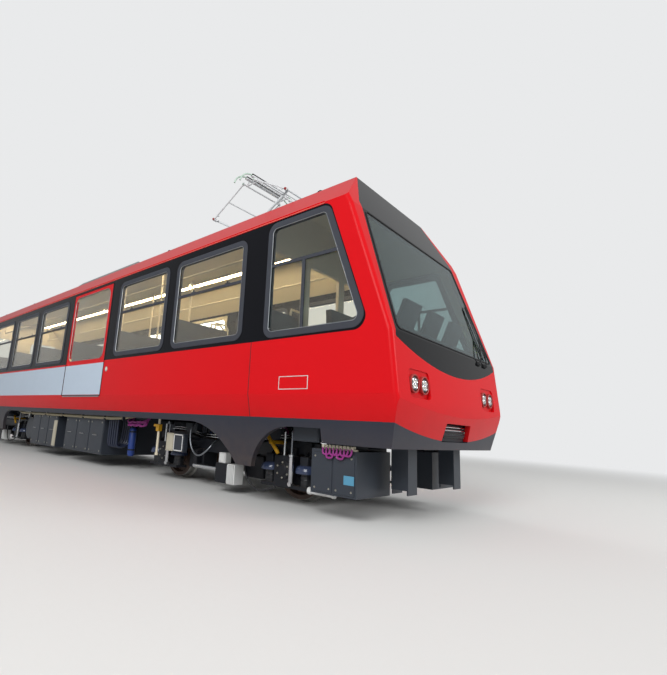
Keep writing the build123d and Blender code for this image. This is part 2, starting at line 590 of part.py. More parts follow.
# Low resistor case on the roof
RESISTOR_LENGTH = 2600.0
RESISTOR_MIDDLE_X = behind_nose(7200.0)
with BuildPart() as roof_resistor:
    add(box_between(RESISTOR_MIDDLE_X - RESISTOR_LENGTH / 2, RESISTOR_MIDDLE_X + RESISTOR_LENGTH / 2, -620, 620,
                    ROOF_TOP, ROOF_TOP + 60))
    with BuildSketch(Plane.YZ.offset(RESISTOR_MIDDLE_X - RESISTOR_LENGTH / 2 + 60)):
        with BuildLine():
            Polyline((-560, ROOF_TOP + 60), (560, ROOF_TOP + 60), (560, ROOF_TOP + 180), (470, ROOF_TOP + 270),
                     (-470, ROOF_TOP + 270), (-560, ROOF_TOP + 180), close=True)
        make_face()
    extrude(amount=RESISTOR_LENGTH - 120)

# Wheelset: axle, two flanged wheels, brake disc and the toothed rack pinion between them
AXLE_RADIUS = 70.0
AXLE_END = 770.0
PINION_TEETH = 18
RACK_PITCH = 100.0
PINION_PITCH_RADIUS = PINION_TEETH * RACK_PITCH / (2 * math.pi)
PINION_TIP_RADIUS = PINION_PITCH_RADIUS + 30.0
PINION_ROOT_RADIUS = PINION_PITCH_RADIUS - 34.0
PINION_WIDTH = 90.0
DISC_Y = -230.0
DISC_RADIUS = 210.0
FLANGE_RADIUS = WHEEL_RADIUS + FLANGE_DEPTH
WHEEL_OUTER_FACE = WHEEL_INNER_FACE + WHEEL_WIDTH


def wheel_profile(side):
    """Half section of one wheel as y and radius, from the hub over the flange to the tread."""
    points = [
        (WHEEL_INNER_FACE - 15, AXLE_RADIUS - 10), (WHEEL_INNER_FACE - 15, 110), (WHEEL_INNER_FACE + 40, 125),
        (WHEEL_INNER_FACE + 40, 255), (WHEEL_INNER_FACE, 275), (WHEEL_INNER_FACE, FLANGE_RADIUS - 14),
        (WHEEL_INNER_FACE + 10, FLANGE_RADIUS), (WHEEL_INNER_FACE + 20, FLANGE_RADIUS - 3),
        (WHEEL_INNER_FACE + 34, WHEEL_RADIUS + 2), (WHEEL_OUTER_FACE - 8, WHEEL_RADIUS - 3),
        (WHEEL_OUTER_FACE, WHEEL_RADIUS - 12), (WHEEL_OUTER_FACE, 275), (WHEEL_INNER_FACE + 68, 255),
        (WHEEL_INNER_FACE + 68, 125), (WHEEL_OUTER_FACE - 5, 110), (WHEEL_OUTER_FACE - 5, AXLE_RADIUS - 10),
    ]
    return [(side * y, AXLE_HEIGHT + radius) for y, radius in points]


def wheelset(x_axle):
    """One wheelset on the axle at x, with a pinion tooth between every two gaps."""
    axle_line = Axis((x_axle, 0, AXLE_HEIGHT), (0, 1, 0))
    half_tooth_foot = 31.0
    half_tooth_tip = 13.0
    with BuildPart() as turning:
        with BuildSketch(Plane.YZ.offset(x_axle)):
            with BuildLine():
                Polyline((-AXLE_END, AXLE_HEIGHT), (-AXLE_END, AXLE_HEIGHT + AXLE_RADIUS - 8),
                         (-AXLE_END + 8, AXLE_HEIGHT + AXLE_RADIUS), (AXLE_END - 8, AXLE_HEIGHT + AXLE_RADIUS),
                         (AXLE_END, AXLE_HEIGHT + AXLE_RADIUS - 8), (AXLE_END, AXLE_HEIGHT), close=True)
            make_face()
            for side in (-1, 1):
                with BuildLine():
                    Polyline(*wheel_profile(side), close=True)
                make_face()
            with Locations((DISC_Y, AXLE_HEIGHT + (AXLE_RADIUS - 10 + DISC_RADIUS) / 2)):
                Rectangle(60, DISC_RADIUS - AXLE_RADIUS + 10)
        revolve(axis=axle_line)
        with BuildSketch(Plane(origin=(x_axle, -PINION_WIDTH / 2, AXLE_HEIGHT), x_dir=(1, 0, 0), z_dir=(0, 1, 0))):
            Circle(PINION_ROOT_RADIUS)
            Circle(AXLE_RADIUS - 10, mode=Mode.SUBTRACT)
            with PolarLocations(0, PINION_TEETH):
                with BuildLine():
                    Polyline((PINION_ROOT_RADIUS - 10, -half_tooth_foot),
                             (PINION_PITCH_RADIUS + 4, -half_tooth_foot * 0.72),
                             (PINION_TIP_RADIUS, -half_tooth_tip), (PINION_TIP_RADIUS, half_tooth_tip),
                             (PINION_PITCH_RADIUS + 4, half_tooth_foot * 0.72),
                             (PINION_ROOT_RADIUS - 10, half_tooth_foot), close=True)
                make_face()
        extrude(amount=PINION_WIDTH)
    return turning


# Bogie frame: two side members, two box transoms with the pivot plate, and round end tubes
SIDE_MEMBER_INNER = 622.0
SIDE_MEMBER_OUTER = 700.0
FRAME_HALF_LENGTH = 1500.0
TRANSOM_X = 330.0
TRANSOM_HALF = 80.0
TRANSOM_FOOT = RAIL_TOP + 420.0
TRANSOM_HEAD = RAIL_TOP + 560.0
PIVOT_CLEARANCE = 0.5
AXLE_CLEARANCE = 0.5
END_TUBE_X = 1478.0
END_TUBE_RADIUS = 40.0
SPRING_SPACING = 250.0
SPRING_Y = 785.0
SPRING_RADIUS = 72.0
AIR_SPRING_Y = 640.0
SIDE_MEMBER_SHAPE = (
    (1500.0, 500.0), (1500.0, 620.0), (880.0, 640.0), (560.0, 565.0), (-560.0, 565.0), (-880.0, 640.0),
    (-1500.0, 620.0), (-1500.0, 500.0), (-960.0, 500.0), (-600.0, 400.0), (600.0, 400.0), (960.0, 500.0),
)


def bogie_frame(middle):
    """Welded frame of the bogie whose pivot is at x."""
    outline = [(middle + x, RAIL_TOP + z) for x, z in SIDE_MEMBER_SHAPE]
    with BuildPart() as frame:
        add(side_prism(outline, SIDE_MEMBER_INNER, SIDE_MEMBER_OUTER))
        add(side_prism(outline, -SIDE_MEMBER_OUTER, -SIDE_MEMBER_INNER))
        for side in (-1, 1):
            x_transom = middle + side * TRANSOM_X
            add(box_between(x_transom - TRANSOM_HALF, x_transom + TRANSOM_HALF, -SIDE_MEMBER_INNER,
                            SIDE_MEMBER_INNER, TRANSOM_FOOT, TRANSOM_HEAD))
            with BuildSketch(Plane.XZ.offset(-SIDE_MEMBER_INNER)):
                with Locations((middle + side * END_TUBE_X, RAIL_TOP + 575.0)):
                    Circle(END_TUBE_RADIUS)
            extrude(amount=2 * SIDE_MEMBER_INNER)
        add(box_between(middle - TRANSOM_X, middle + TRANSOM_X, -170, 170, TRANSOM_FOOT + 20, TRANSOM_HEAD - 10))
        with BuildSketch(Plane.XY.offset(TRANSOM_FOOT)):
            with Locations((middle, 0)):
                Circle(PIVOT_RADIUS + PIVOT_CLEARANCE)
        extrude(amount=400.0, mode=Mode.SUBTRACT)
    return frame


def bogie_gear(middle):
    """Axle boxes with their wing springs, air springs, dampers and rail brakes of one bogie."""
    with BuildPart() as gear:
        for side in (-1, 1):
            for end in (-1, 1):
                x_axle = middle + end * WHEELBASE / 2
                y_inner = 706.0 if side > 0 else -880.0
                add(box_between(x_axle - 330, x_axle + 330, y_inner, y_inner + 174, RAIL_TOP + 150, RAIL_TOP + 185))
                add(box_between(x_axle - 130, x_axle + 130, y_inner, y_inner + 154, RAIL_TOP + 185,
                                RAIL_TOP + 480))
                add(box_between(x_axle - 60, x_axle + 60, min(side * 700, side * 740), max(side * 700, side * 740),
                                RAIL_TOP + 440, RAIL_TOP + 560))
                with BuildSketch(Plane.XZ.offset(-AXLE_END - 5)):
                    with Locations((x_axle, AXLE_HEIGHT)):
                        Circle(AXLE_RADIUS + AXLE_CLEARANCE)
                extrude(amount=2 * AXLE_END + 10, mode=Mode.SUBTRACT)
                for spring_side in (-1, 1):
                    with BuildSketch(Plane.XY.offset(RAIL_TOP + 185)):
                        with Locations((x_axle + spring_side * SPRING_SPACING, side * SPRING_Y)):
                            Circle(SPRING_RADIUS)
                    extrude(amount=205.0)
                with BuildSketch(Plane.XY.offset(RAIL_TOP + 185)):
                    with Locations((x_axle, side * 868)):
                        Circle(14)
                extrude(amount=545.0)
            with BuildSketch(Plane.XY.offset(RAIL_TOP + 565)):
                with Locations((middle, side * AIR_SPRING_Y)):
                    Circle(165)
            extrude(amount=BOLSTER_FOOT - RAIL_TOP - 565 - 6)
    return gear


def drive_units(middle):
    """Two cross motors, each with the gear case that takes its axle."""
    motor_x = 600.0
    motor_radius = 185.0
    motor_z = RAIL_TOP + 400.0
    with BuildPart() as drives:
        for end in (-1, 1):
            x_motor = middle + end * motor_x
            x_axle = middle + end * WHEELBASE / 2
            with BuildSketch(Plane.XZ.offset(-430.0)):
                with Locations((x_motor, motor_z)):
                    Circle(motor_radius)
            extrude(amount=860.0)
            x_nose = middle + end * (TRANSOM_X + TRANSOM_HALF)
            add(box_between(min(x_nose, x_motor), max(x_nose, x_motor), -150, 150, TRANSOM_FOOT + 10,
                            TRANSOM_HEAD - 20))
            with BuildSketch(Plane.XZ.offset(-290.0)) as case_outline:
                with Locations((x_motor, motor_z)):
                    Circle(150)
                with Locations((x_axle, AXLE_HEIGHT)):
                    Circle(240)
                make_hull()
                with Locations((x_axle, AXLE_HEIGHT)):
                    Circle(AXLE_RADIUS + AXLE_CLEARANCE, mode=Mode.SUBTRACT)
            extrude(amount=110.0)
    return drives


# Pantograph: a diamond of equal arms, hinged at the base, the knees and the head
PANTO_X = behind_nose(2920.0)
PANTO_PIVOT_HALF = 120.0
PANTO_KNEE_HALF = 790.0
PANTO_PIVOT_Z = RAIL_TOP + 3680.0
PANTO_KNEE_Z = RAIL_TOP + 4075.0
PANTO_HEAD_Z = 2 * PANTO_KNEE_Z - PANTO_PIVOT_Z
STRIP_TOP_Z = RAIL_TOP + 4580.0
LOWER_ARM_Y = 370.0
UPPER_ARM_Y = 414.0
LOWER_TUBE = 18.0
UPPER_TUBE = 12.0
KNEE_SHAFT = 13.0
EYE_RADIUS = 26.0
EYE_HALF_WIDTH = 10.0
BASE_SHAFT = 24.0
HEAD_SHAFT = 12.0
PIN_CLEARANCE = 0.4
OPEN_PIVOT_CLEARANCE = 5.0


def rod(start, end, radius):
    """Round rod between two points."""
    line = Vector(*end) - Vector(*start)
    plane = Plane(origin=start, z_dir=line)
    return plane * Pos(0, 0, line.length / 2) * Cylinder(radius, line.length, mode=Mode.PRIVATE)


def lower_arm(end):
    """Lower arms of one side of the diamond with their base shaft and knee shaft; end is 1 to the front."""
    pivot = (PANTO_X + end * PANTO_PIVOT_HALF, PANTO_PIVOT_Z)
    knee = (PANTO_X + end * PANTO_KNEE_HALF, PANTO_KNEE_Z)
    with BuildPart() as arm:
        for side in (-1, 1):
            add(rod((pivot[0], side * LOWER_ARM_Y, pivot[1]), (knee[0], side * LOWER_ARM_Y, knee[1]), LOWER_TUBE))
        add(rod((pivot[0], -LOWER_ARM_Y - 14, pivot[1]), (pivot[0], LOWER_ARM_Y + 14, pivot[1]), BASE_SHAFT))
        add(rod((knee[0], -UPPER_ARM_Y - 24, knee[1]), (knee[0], UPPER_ARM_Y + 24, knee[1]), KNEE_SHAFT))
        add(rod((pivot[0] + 60 * end, -LOWER_ARM_Y, pivot[1] + 35), (knee[0] - 60 * end, LOWER_ARM_Y, knee[1] - 35), 8))
    return arm


def upper_arm(end, head_clearance):
    """Upper arms of one side of the diamond, with eyes on the knee shaft and on the head shaft."""
    knee = (PANTO_X + end * PANTO_KNEE_HALF, PANTO_KNEE_Z)
    head = (PANTO_X + end * PANTO_PIVOT_HALF, PANTO_HEAD_Z)
    with BuildPart() as arm:
        for side in (-1, 1):
            y_eye = side * UPPER_ARM_Y
            add(rod((knee[0], y_eye, knee[1]), (head[0], y_eye, head[1]), UPPER_TUBE))
            for x_eye, z_eye in (knee, head):
                add(rod((x_eye, y_eye - EYE_HALF_WIDTH, z_eye), (x_eye, y_eye + EYE_HALF_WIDTH, z_eye), EYE_RADIUS))
        x_brace = (knee[0] + head[0]) / 2
        z_brace = (knee[1] + head[1]) / 2
        add(rod((x_brace, -UPPER_ARM_Y, z_brace), (x_brace, UPPER_ARM_Y, z_brace), 10))
        add(rod((knee[0], -500, knee[1]), (knee[0], 500, knee[1]), KNEE_SHAFT + PIN_CLEARANCE), mode=Mode.SUBTRACT)
        add(rod((head[0], -500, head[1]), (head[0], 500, head[1]), HEAD_SHAFT + head_clearance), mode=Mode.SUBTRACT)
    return arm


STRIP_HALF = 420.0
STRIP_SPACING = 62.0
HORN_Y = 650.0
HORN_Z = RAIL_TOP + 4370.0
with BuildPart() as panto_head:
    for end in (-1, 1):
        x_shaft = PANTO_X + end * PANTO_PIVOT_HALF
        x_strip = PANTO_X + end * STRIP_SPACING
        add(rod((x_shaft, -UPPER_ARM_Y - 22, PANTO_HEAD_Z), (x_shaft, UPPER_ARM_Y + 22, PANTO_HEAD_Z), HEAD_SHAFT))
        add(box_between(x_strip - 22, x_strip + 22, -STRIP_HALF, STRIP_HALF, STRIP_TOP_Z - 45, STRIP_TOP_Z))
        for side in (-1, 1):
            y_rib = side * 340.0
            add(rod((x_shaft, y_rib, PANTO_HEAD_Z), (x_strip, y_rib, STRIP_TOP_Z - 30), 10))
            with BuildPart(mode=Mode.PRIVATE) as horn:
                with BuildLine(Plane.YZ.offset(x_strip)) as horn_line:
                    ThreePointArc(
                        (side * (STRIP_HALF - 20), STRIP_TOP_Z - 22), (side * 560, STRIP_TOP_Z - 70),
                        (side * HORN_Y, HORN_Z),
                    )
                with BuildSketch(Plane(origin=horn_line.line @ 0, z_dir=horn_line.line % 0)):
                    Circle(12)
                sweep()
            add(horn.part)
    for side in (-1, 1):
        add(rod((PANTO_X - PANTO_PIVOT_HALF, side * 340, PANTO_HEAD_Z), (PANTO_X + PANTO_PIVOT_HALF, side * 340,
                PANTO_HEAD_Z), 10))

INSULATOR_X = 360.0
INSULATOR_Y = 300.0
BASE_BAR = 36.0
with BuildPart() as panto_base:
    for end in (-1, 1):
        for side in (-1, 1):
            with BuildSketch(Plane.XY.offset(ROOF_TOP)):
                with Locations((PANTO_X + end * INSULATOR_X, side * INSULATOR_Y)):
                    Circle(48)
            extrude(amount=52.0)
            x_pivot = PANTO_X + end * PANTO_PIVOT_HALF
            y_block = side * 300.0
            add(box_between(x_pivot - 34, x_pivot + 34, y_block - 20, y_block + 20, ROOF_TOP + 52 + BASE_BAR,
                            PANTO_PIVOT_Z + 36))
    for side in (-1, 1):
        add(box_between(PANTO_X - 420, PANTO_X + 420, side * INSULATOR_Y - 22, side * INSULATOR_Y + 22,
                        ROOF_TOP + 52, ROOF_TOP + 52 + BASE_BAR))
        add(box_between(PANTO_X + side * 400 - 20, PANTO_X + side * 400 + 20, -INSULATOR_Y, INSULATOR_Y,
                        ROOF_TOP + 52, ROOF_TOP + 52 + BASE_BAR))
    for end in (-1, 1):
        x_pivot = PANTO_X + end * PANTO_PIVOT_HALF
        add(rod((x_pivot, -400, PANTO_PIVOT_Z), (x_pivot, 400, PANTO_PIVOT_Z), BASE_SHAFT + PIN_CLEARANCE),
            mode=Mode.SUBTRACT)

# Every piece by the name of its node; the left side mirrors the right
pieces = {
    "underframe": underframe.part,
    "cab_shell": cab_shell.part,
    "windshield_surround": windshield_surround.part,
    "windshield": windshield.part,
    "headlights": headlights.part,
    "front_skirt": front_skirt.part,
    "roof": roof.part,
    "rear_wall": rear_wall.part,
    "rear_windows": rear_windows.part,
    "saloon_fittings": saloon_fittings.part,
    "cab_partition": cab_partition.part,
    "driver_place": driver_place.part,
    "front_coupler": front_coupler.part,
    "rear_coupler": rear_coupler.part,
    "underfloor_equipment": underfloor_equipment.part,
    "rail_guards": rail_guards.part,
    "roof_resistor": roof_resistor.part,
    "panto_base": panto_base.part,
    "panto_lower_front": lower_arm(1).part,
    "panto_lower_rear": lower_arm(-1).part,
    "panto_upper_front": upper_arm(1, PIN_CLEARANCE).part,
    "panto_upper_rear": upper_arm(-1, OPEN_PIVOT_CLEARANCE).part,
    "panto_head": panto_head.part,
}
for name, piece in (
    ("side_panel", side_panel_right), ("window_band", window_band_right), ("window_frames", window_frames_right),
    ("window_glass", window_glass_right), ("door", door_right), ("skirt", skirt_right),
):
    pieces[name + "_right"] = piece.part
    pieces[name + "_left"] = mirror(piece.part, about=Plane.XZ)
for end_name, middle in zip(BOGIE_NAMES, BOGIE_X):
    pieces["bogie_frame_" + end_name] = bogie_frame(middle).part
    pieces["bogie_gear_" + end_name] = bogie_gear(middle).part
    pieces["drive_units_" + end_name] = drive_units(middle).part
    pieces["wheelset_" + end_name + "_1"] = wheelset(middle + WHEELBASE / 2).part
    pieces["wheelset_" + end_name + "_2"] = wheelset(middle - WHEELBASE / 2).part

os.makedirs("parts", exist_ok=True)
for name, piece in pieces.items():
    piece.label = name
    export_step(piece, f"parts/{name}.step")
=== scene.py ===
"""Finish, trim and stage of a rack railway motor car. Metres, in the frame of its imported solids."""
import json
import math

import bmesh
import bpy
from bpy.props import FloatProperty, FloatVectorProperty, PointerProperty
from mathutils import Matrix, Vector


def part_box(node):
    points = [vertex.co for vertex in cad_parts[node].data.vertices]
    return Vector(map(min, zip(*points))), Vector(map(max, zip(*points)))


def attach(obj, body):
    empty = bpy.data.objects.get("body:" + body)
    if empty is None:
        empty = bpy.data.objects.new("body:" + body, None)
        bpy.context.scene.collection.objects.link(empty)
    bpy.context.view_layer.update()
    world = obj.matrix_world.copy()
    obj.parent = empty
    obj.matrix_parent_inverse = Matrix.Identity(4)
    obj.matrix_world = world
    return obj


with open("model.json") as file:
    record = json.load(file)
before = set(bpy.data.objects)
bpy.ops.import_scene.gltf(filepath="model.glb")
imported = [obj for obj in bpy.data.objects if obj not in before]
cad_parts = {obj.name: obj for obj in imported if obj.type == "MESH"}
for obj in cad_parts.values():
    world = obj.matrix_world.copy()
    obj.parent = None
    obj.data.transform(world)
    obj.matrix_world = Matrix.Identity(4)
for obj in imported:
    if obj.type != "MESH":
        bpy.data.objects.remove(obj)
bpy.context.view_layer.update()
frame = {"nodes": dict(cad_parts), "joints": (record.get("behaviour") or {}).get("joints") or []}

bl_info = {
    "name": "Rack Railway Car Finish",
    "version": (1, 0, 0),
    "blender": (4, 5, 0),
    "location": "View3D > Sidebar > Rack Car",
    "description": "Gives a rack railway motor car its finishes, trim, running gear details and stage",
    "category": "Object",
}

# Datums of the car, from its solids and its joints
PIVOTS = {joint["child"]: Vector(joint["pos_m"]) for joint in frame["joints"]}
NODES = frame["nodes"]
SIDES = ((-1, "right"), (1, "left"))
BOGIES = ("front", "rear")
WHEELSETS = {body: pivot for body, pivot in PIVOTS.items() if body.startswith("wheelset")}
# x of each bogie's two axles, the front one first, and how far before and behind an axle its springs stand
AXLES = {end: [WHEELSETS["wheelset_" + end + "_" + number].x for number in ("1", "2")] for end in BOGIES}
SPRING_OUT = 0.25
WALL_LOW, WALL_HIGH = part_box("side_panel_right")
DOOR_LOW, DOOR_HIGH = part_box("door_right")
RAIL_TOP = 0.027
NOSE_X = 6.88
LEAN = math.tan(math.radians(13.0))
RED_FOOT = WALL_LOW.z
WAIST = WALL_HIGH.z
HALF_WIDTH = -WALL_LOW.y
CREASE = DOOR_LOW.z
CANTRAIL = RAIL_TOP + 3.05
ROOF_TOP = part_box("roof")[1].z
CEILING = ROOF_TOP - 0.06
FLOOR_TOP = CREASE
FLOOR_UNDERSIDE = FLOOR_TOP - 0.06
REAR_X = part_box("rear_wall")[0].x
CAB_JOINT_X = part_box("cab_shell")[0].x
SALOON_MIDDLE = (0.0, 0.0, 2.3)
# Foot of the windshield, how far it leans back over a metre of height, and half its width at the head
GLASS_FOOT_Z = RAIL_TOP + 1.657
GLASS_SLOPE = 0.433 / 1.313
GLASS_HALF_HEAD = 1.060
UP, FORWARD = (0, 0, 1), (1, 0, 0)


def linear(code):
    """sRGB hex colour as linear red, green, blue and alpha."""
    parts = [int(code[k:k + 2], 16) / 255 for k in (1, 3, 5)]
    return (*[c / 12.92 if c <= 0.04045 else ((c + 0.055) / 1.055) ** 2.4 for c in parts], 1.0)


def wall_y(z):
    """Half width of the body's outer face at height z, below the cantrail."""
    return HALF_WIDTH - max(0.0, CREASE - z) * LEAN


def behind_nose(distance):
    """x of a point that lies this far behind the foot of the windshield."""
    return NOSE_X - distance


def colour_setting(name, description, code):
    """Colour property with its default from an sRGB hex value."""
    return FloatVectorProperty(name=name, description=description, default=linear(code), size=4,
                               subtype="COLOR", min=0.0, max=1.0)


def length_setting(name, description, metres):
    """Length property in metres."""
    return FloatProperty(name=name, description=description, default=metres, min=0.0, unit="LENGTH")


class RackCarColours(bpy.types.PropertyGroup):
    """Colours of the painted and lined surfaces."""
    body_red: colour_setting("Body red", "Enamel of the body panels", "#d0121a")
    skirt_blue_grey: colour_setting("Skirt blue grey", "Enamel of the skirts", "#2b2f3b")
    roof_grey: colour_setting("Roof grey", "Flat top of the roof", "#8d9193")
    lining_cream: colour_setting("Lining cream", "Walls and ceiling of the saloon", "#eadfc2")
    floor: colour_setting("Stage floor", "Floor of the studio", "#dededc")
    backdrop: colour_setting("Backdrop", "What is seen past the floor", "#e9eaeb")


class RackCarSizes(bpy.types.PropertyGroup):
    """Sizes of the trim and of the stage."""
    seam_width: length_setting("Seam width", "Width of the sealed joints between body panels", 0.009)
    film_thickness: length_setting("Film thickness", "How proud the banner film stands", 0.0012)
    bead_radius: length_setting("Bead radius", "Half thickness of the beads round the window panes", 0.005)
    spring_wire: length_setting("Spring wire", "Half thickness of the axle springs' wire", 0.010)
    hose_radius: length_setting("Hose radius", "Half thickness of the brake hoses", 0.011)
    focal_length: FloatProperty(name="Focal length", description="Lens in millimetres on a 36 mm sensor",
                                default=23.87, min=1.0)
    ambient: FloatProperty(name="Ambient level", description="Strength of the light from all round",
                           default=0.55, min=0.0)


# Materials


def node(tree, kind, inputs=None, **settings):
    """Adds a node with its settings, and gives its inputs their values or the outputs that feed them."""
    made = tree.nodes.new(kind)
    for name, value in settings.items():
        setattr(made, name, value)
    for key, value in (inputs or {}).items():
        if isinstance(value, bpy.types.NodeSocket):
            tree.links.new(value, made.inputs[key])
        else:
            made.inputs[key].default_value = value
    return made


MIX_SHARE, MIX_A, MIX_B, MIX_RESULT = 0, 6, 7, 2


def blank_material(name):
    """New material with an empty node tree."""
    material = bpy.data.materials.new(name)
    material.use_nodes = True
    material.node_tree.nodes.clear()
    return material, material.node_tree


def shaded(tree, colour, **sockets):
    """Principled shader with its colour and its other sockets, and the material's output."""
    shader = node(tree, "ShaderNodeBsdfPrincipled", {"Base Color": colour, **{
        name.replace("_", " "): value for name, value in sockets.items()}})
    node(tree, "ShaderNodeOutputMaterial", {"Surface": shader.outputs["BSDF"]})


def toned(tree, share, one, two):
    """Colour between two colours."""
    return node(tree, "ShaderNodeMix", {MIX_SHARE: share, MIX_A: one, MIX_B: two},
                data_type="RGBA").outputs[MIX_RESULT]


def scaled(colour, factor):
    """Lighter or darker colour."""
    return (*[min(1.0, c * factor) for c in colour[:3]], 1.0)


def upward_share(tree, most):
    """How much dust lies: most where a surface faces up, none on walls."""
    normal = node(tree, "ShaderNodeNewGeometry").outputs["True Normal"]
    height = node(tree, "ShaderNodeSeparateXYZ", {"Vector": normal}).outputs["Z"]
    return node(tree, "ShaderNodeMapRange", {"Value": height, "From Min": 0.55, "From Max": 0.98,
                                             "To Max": most}).outputs["Result"]


def patches(tree, size_mm, most):
    """Soft patches between nothing and most."""
    return node(tree, "ShaderNodeMapRange", {"Value": noise(tree, size_mm, 6.0, 0.7),
                                             "To Max": most}).outputs["Result"]


def noise(tree, size_mm, detail=4.0, roughness=0.6, stretch=None):
    """Noise whose patches are about size_mm wide; stretch draws them out along the axes."""
    place = node(tree, "ShaderNodeTexCoord").outputs["Object"]
    if stretch:
        place = node(tree, "ShaderNodeMapping", {"Vector": place, "Scale": stretch}).outputs["Vector"]
    return node(tree, "ShaderNodeTexNoise", {"Vector": place, "Scale": 1000.0 / size_mm, "Detail": detail,
                                             "Roughness": roughness}).outputs["Fac"]


def rounded_relief(tree, height, depth_mm, edge_mm=3.0):
    """Normal with softly rounded edges and a relief of depth_mm."""
    edges = node(tree, "ShaderNodeBevel", {"Radius": edge_mm / 1000.0}, samples=4).outputs["Normal"]
    return node(tree, "ShaderNodeBump", {"Height": height, "Distance": depth_mm / 1000.0, "Strength": 1.0,
                                         "Normal": edges}).outputs["Normal"]


def zone_share(tree, zones, share=1.0):
    """The share inside any of the zones, and 0 outside them. A zone is given by its limits along x, y or z,
    or outwards from the middle plane. Object coordinates are the car's own, as every mesh lies in its
    frame."""
    place = node(tree, "ShaderNodeSeparateXYZ", {
        "Vector": node(tree, "ShaderNodeTexCoord").outputs["Object"]}).outputs
    outwards = node(tree, "ShaderNodeMath", {0: place["Y"]}, operation="ABSOLUTE").outputs["Value"]
    values = {"x": place["X"], "y": place["Y"], "z": place["Z"], "out": outwards}
    total = 0.0
    for zone in zones:
        inside = share
        for axis, (low, high) in zone.items():
            within = node(tree, "ShaderNodeMath", {0: values[axis], 1: (low + high) / 2, 2: (high - low) / 2},
                          operation="COMPARE").outputs["Value"]
            inside = node(tree, "ShaderNodeMath", {0: within, 1: inside},
                          operation="MULTIPLY").outputs["Value"]
        total = node(tree, "ShaderNodeMath", {0: total, 1: inside}, operation="MAXIMUM").outputs["Value"]
    return total


def height_share(tree, z_none, z_full, most):
    """Rises from nothing at one height to most at the other."""
    place = node(tree, "ShaderNodeTexCoord").outputs["Object"]
    height = node(tree, "ShaderNodeSeparateXYZ", {"Vector": place}).outputs["Z"]
    return node(tree, "ShaderNodeMapRange", {"Value": height, "From Min": z_none, "From Max": z_full,
                                             "To Max": most}).outputs["Result"]


def lining_share(tree):
    """1 on the faces of the body that look into the saloon and the cab, 0 on its outer skin."""
    geometry = node(tree, "ShaderNodeNewGeometry").outputs
    from_middle = node(tree, "ShaderNodeVectorMath", {0: geometry["Position"], 1: SALOON_MIDDLE},
                       operation="SUBTRACT").outputs["Vector"]
    outward = node(tree, "ShaderNodeVectorMath", {0: geometry["True Normal"], 1: from_middle},
                   operation="DOT_PRODUCT").outputs["Value"]
    inward = node(tree, "ShaderNodeMath", {0: outward, 1: 0.0}, operation="LESS_THAN").outputs["Value"]
    return zone_share(tree, [{"x": (REAR_X, NOSE_X + 0.012), "z": (FLOOR_TOP + 0.002, ROOF_TOP)}], inward)


def red_enamel_sprayed(name):
    """Two-pack enamel, sprayed and polished: deep even red, a soft sheen, orange peel only seen close by.
    The inner faces carry the cream laminate of the saloon, and the flat top of the roof is grey."""
    colours = bpy.context.scene.rackcar_colours
    material, tree = blank_material(name)
    red = tuple(colours.body_red)
    skin = toned(tree, noise(tree, 900.0, 3.0), scaled(red, 0.97), scaled(red, 1.03))
    # The red turns a darker brown-red in patches from the crease down to its foot
    darker_towards_foot = height_share(tree, CREASE + 0.02, RED_FOOT, patches(tree, 260.0, 0.30))
    skin = toned(tree, darker_towards_foot, skin, linear("#4a2019"))
    top = zone_share(tree, [{"z": (ROOF_TOP - 0.002, ROOF_TOP + 0.002)}])
    top_soil = toned(tree, noise(tree, 500.0, 6.0, 0.7), scaled(tuple(colours.roof_grey), 0.72),
                     tuple(colours.roof_grey))
    skin = toned(tree, top, skin, top_soil)
    cream = toned(tree, noise(tree, 300.0), scaled(tuple(colours.lining_cream), 0.96),
                  tuple(colours.lining_cream))
    skin = toned(tree, lining_share(tree), skin, cream)
    shaded(tree, skin, Roughness=0.28, Specular_IOR_Level=0.10,
           Normal=rounded_relief(tree, noise(tree, 9.0, 2.0), 0.015, 5.0))
    return material


def skirt_enamel_sprayed(name):
    """Satin blue-grey enamel of the skirts, paler and browner towards the foot: brown brake dust, and a
    painted gradient of light down the skirt.
    """
    base = tuple(bpy.context.scene.rackcar_colours.skirt_blue_grey)
    material, tree = blank_material(name)
    skin = toned(tree, noise(tree, 700.0, 5.0), scaled(base, 0.9), scaled(base, 1.1))
    # Paler and browner towards the foot: brake dust, and painted light standing in for the gradient of light
    # down the skirt
    dust = height_share(tree, 0.92, 0.40, patches(tree, 120.0, 0.55))
    skin = toned(tree, dust, skin, linear("#6a5a4c"))
    shaded(tree, skin, Roughness=0.42, Specular_IOR_Level=0.25,
           Normal=rounded_relief(tree, noise(tree, 12.0, 2.0), 0.03))
    return material


def window_glass(name, tint, ior=1.52):
    """Float glass, toughened: clear with a green cast, and mirror-smooth."""
    material, tree = blank_material(name)
    shaded(tree, linear(tint), Roughness=0.0, IOR=ior, Transmission_Weight=1.0)
    return material


def toughened_glass_floated(name):
    """Side panes: nearly clear, so that the lit saloon shows."""
    return window_glass(name, "#f4f4ec")


def laminated_glass_tinted(name):
    """Windshield: two panes with a tinted film between them, which gives it a grey-green depth."""
    return window_glass(name, "#7b9a9e")


def lamp_glass_pressed(name):
    """Clear pressed glass of the headlights."""
    return window_glass(name, "#f4f6f6", 1.5)


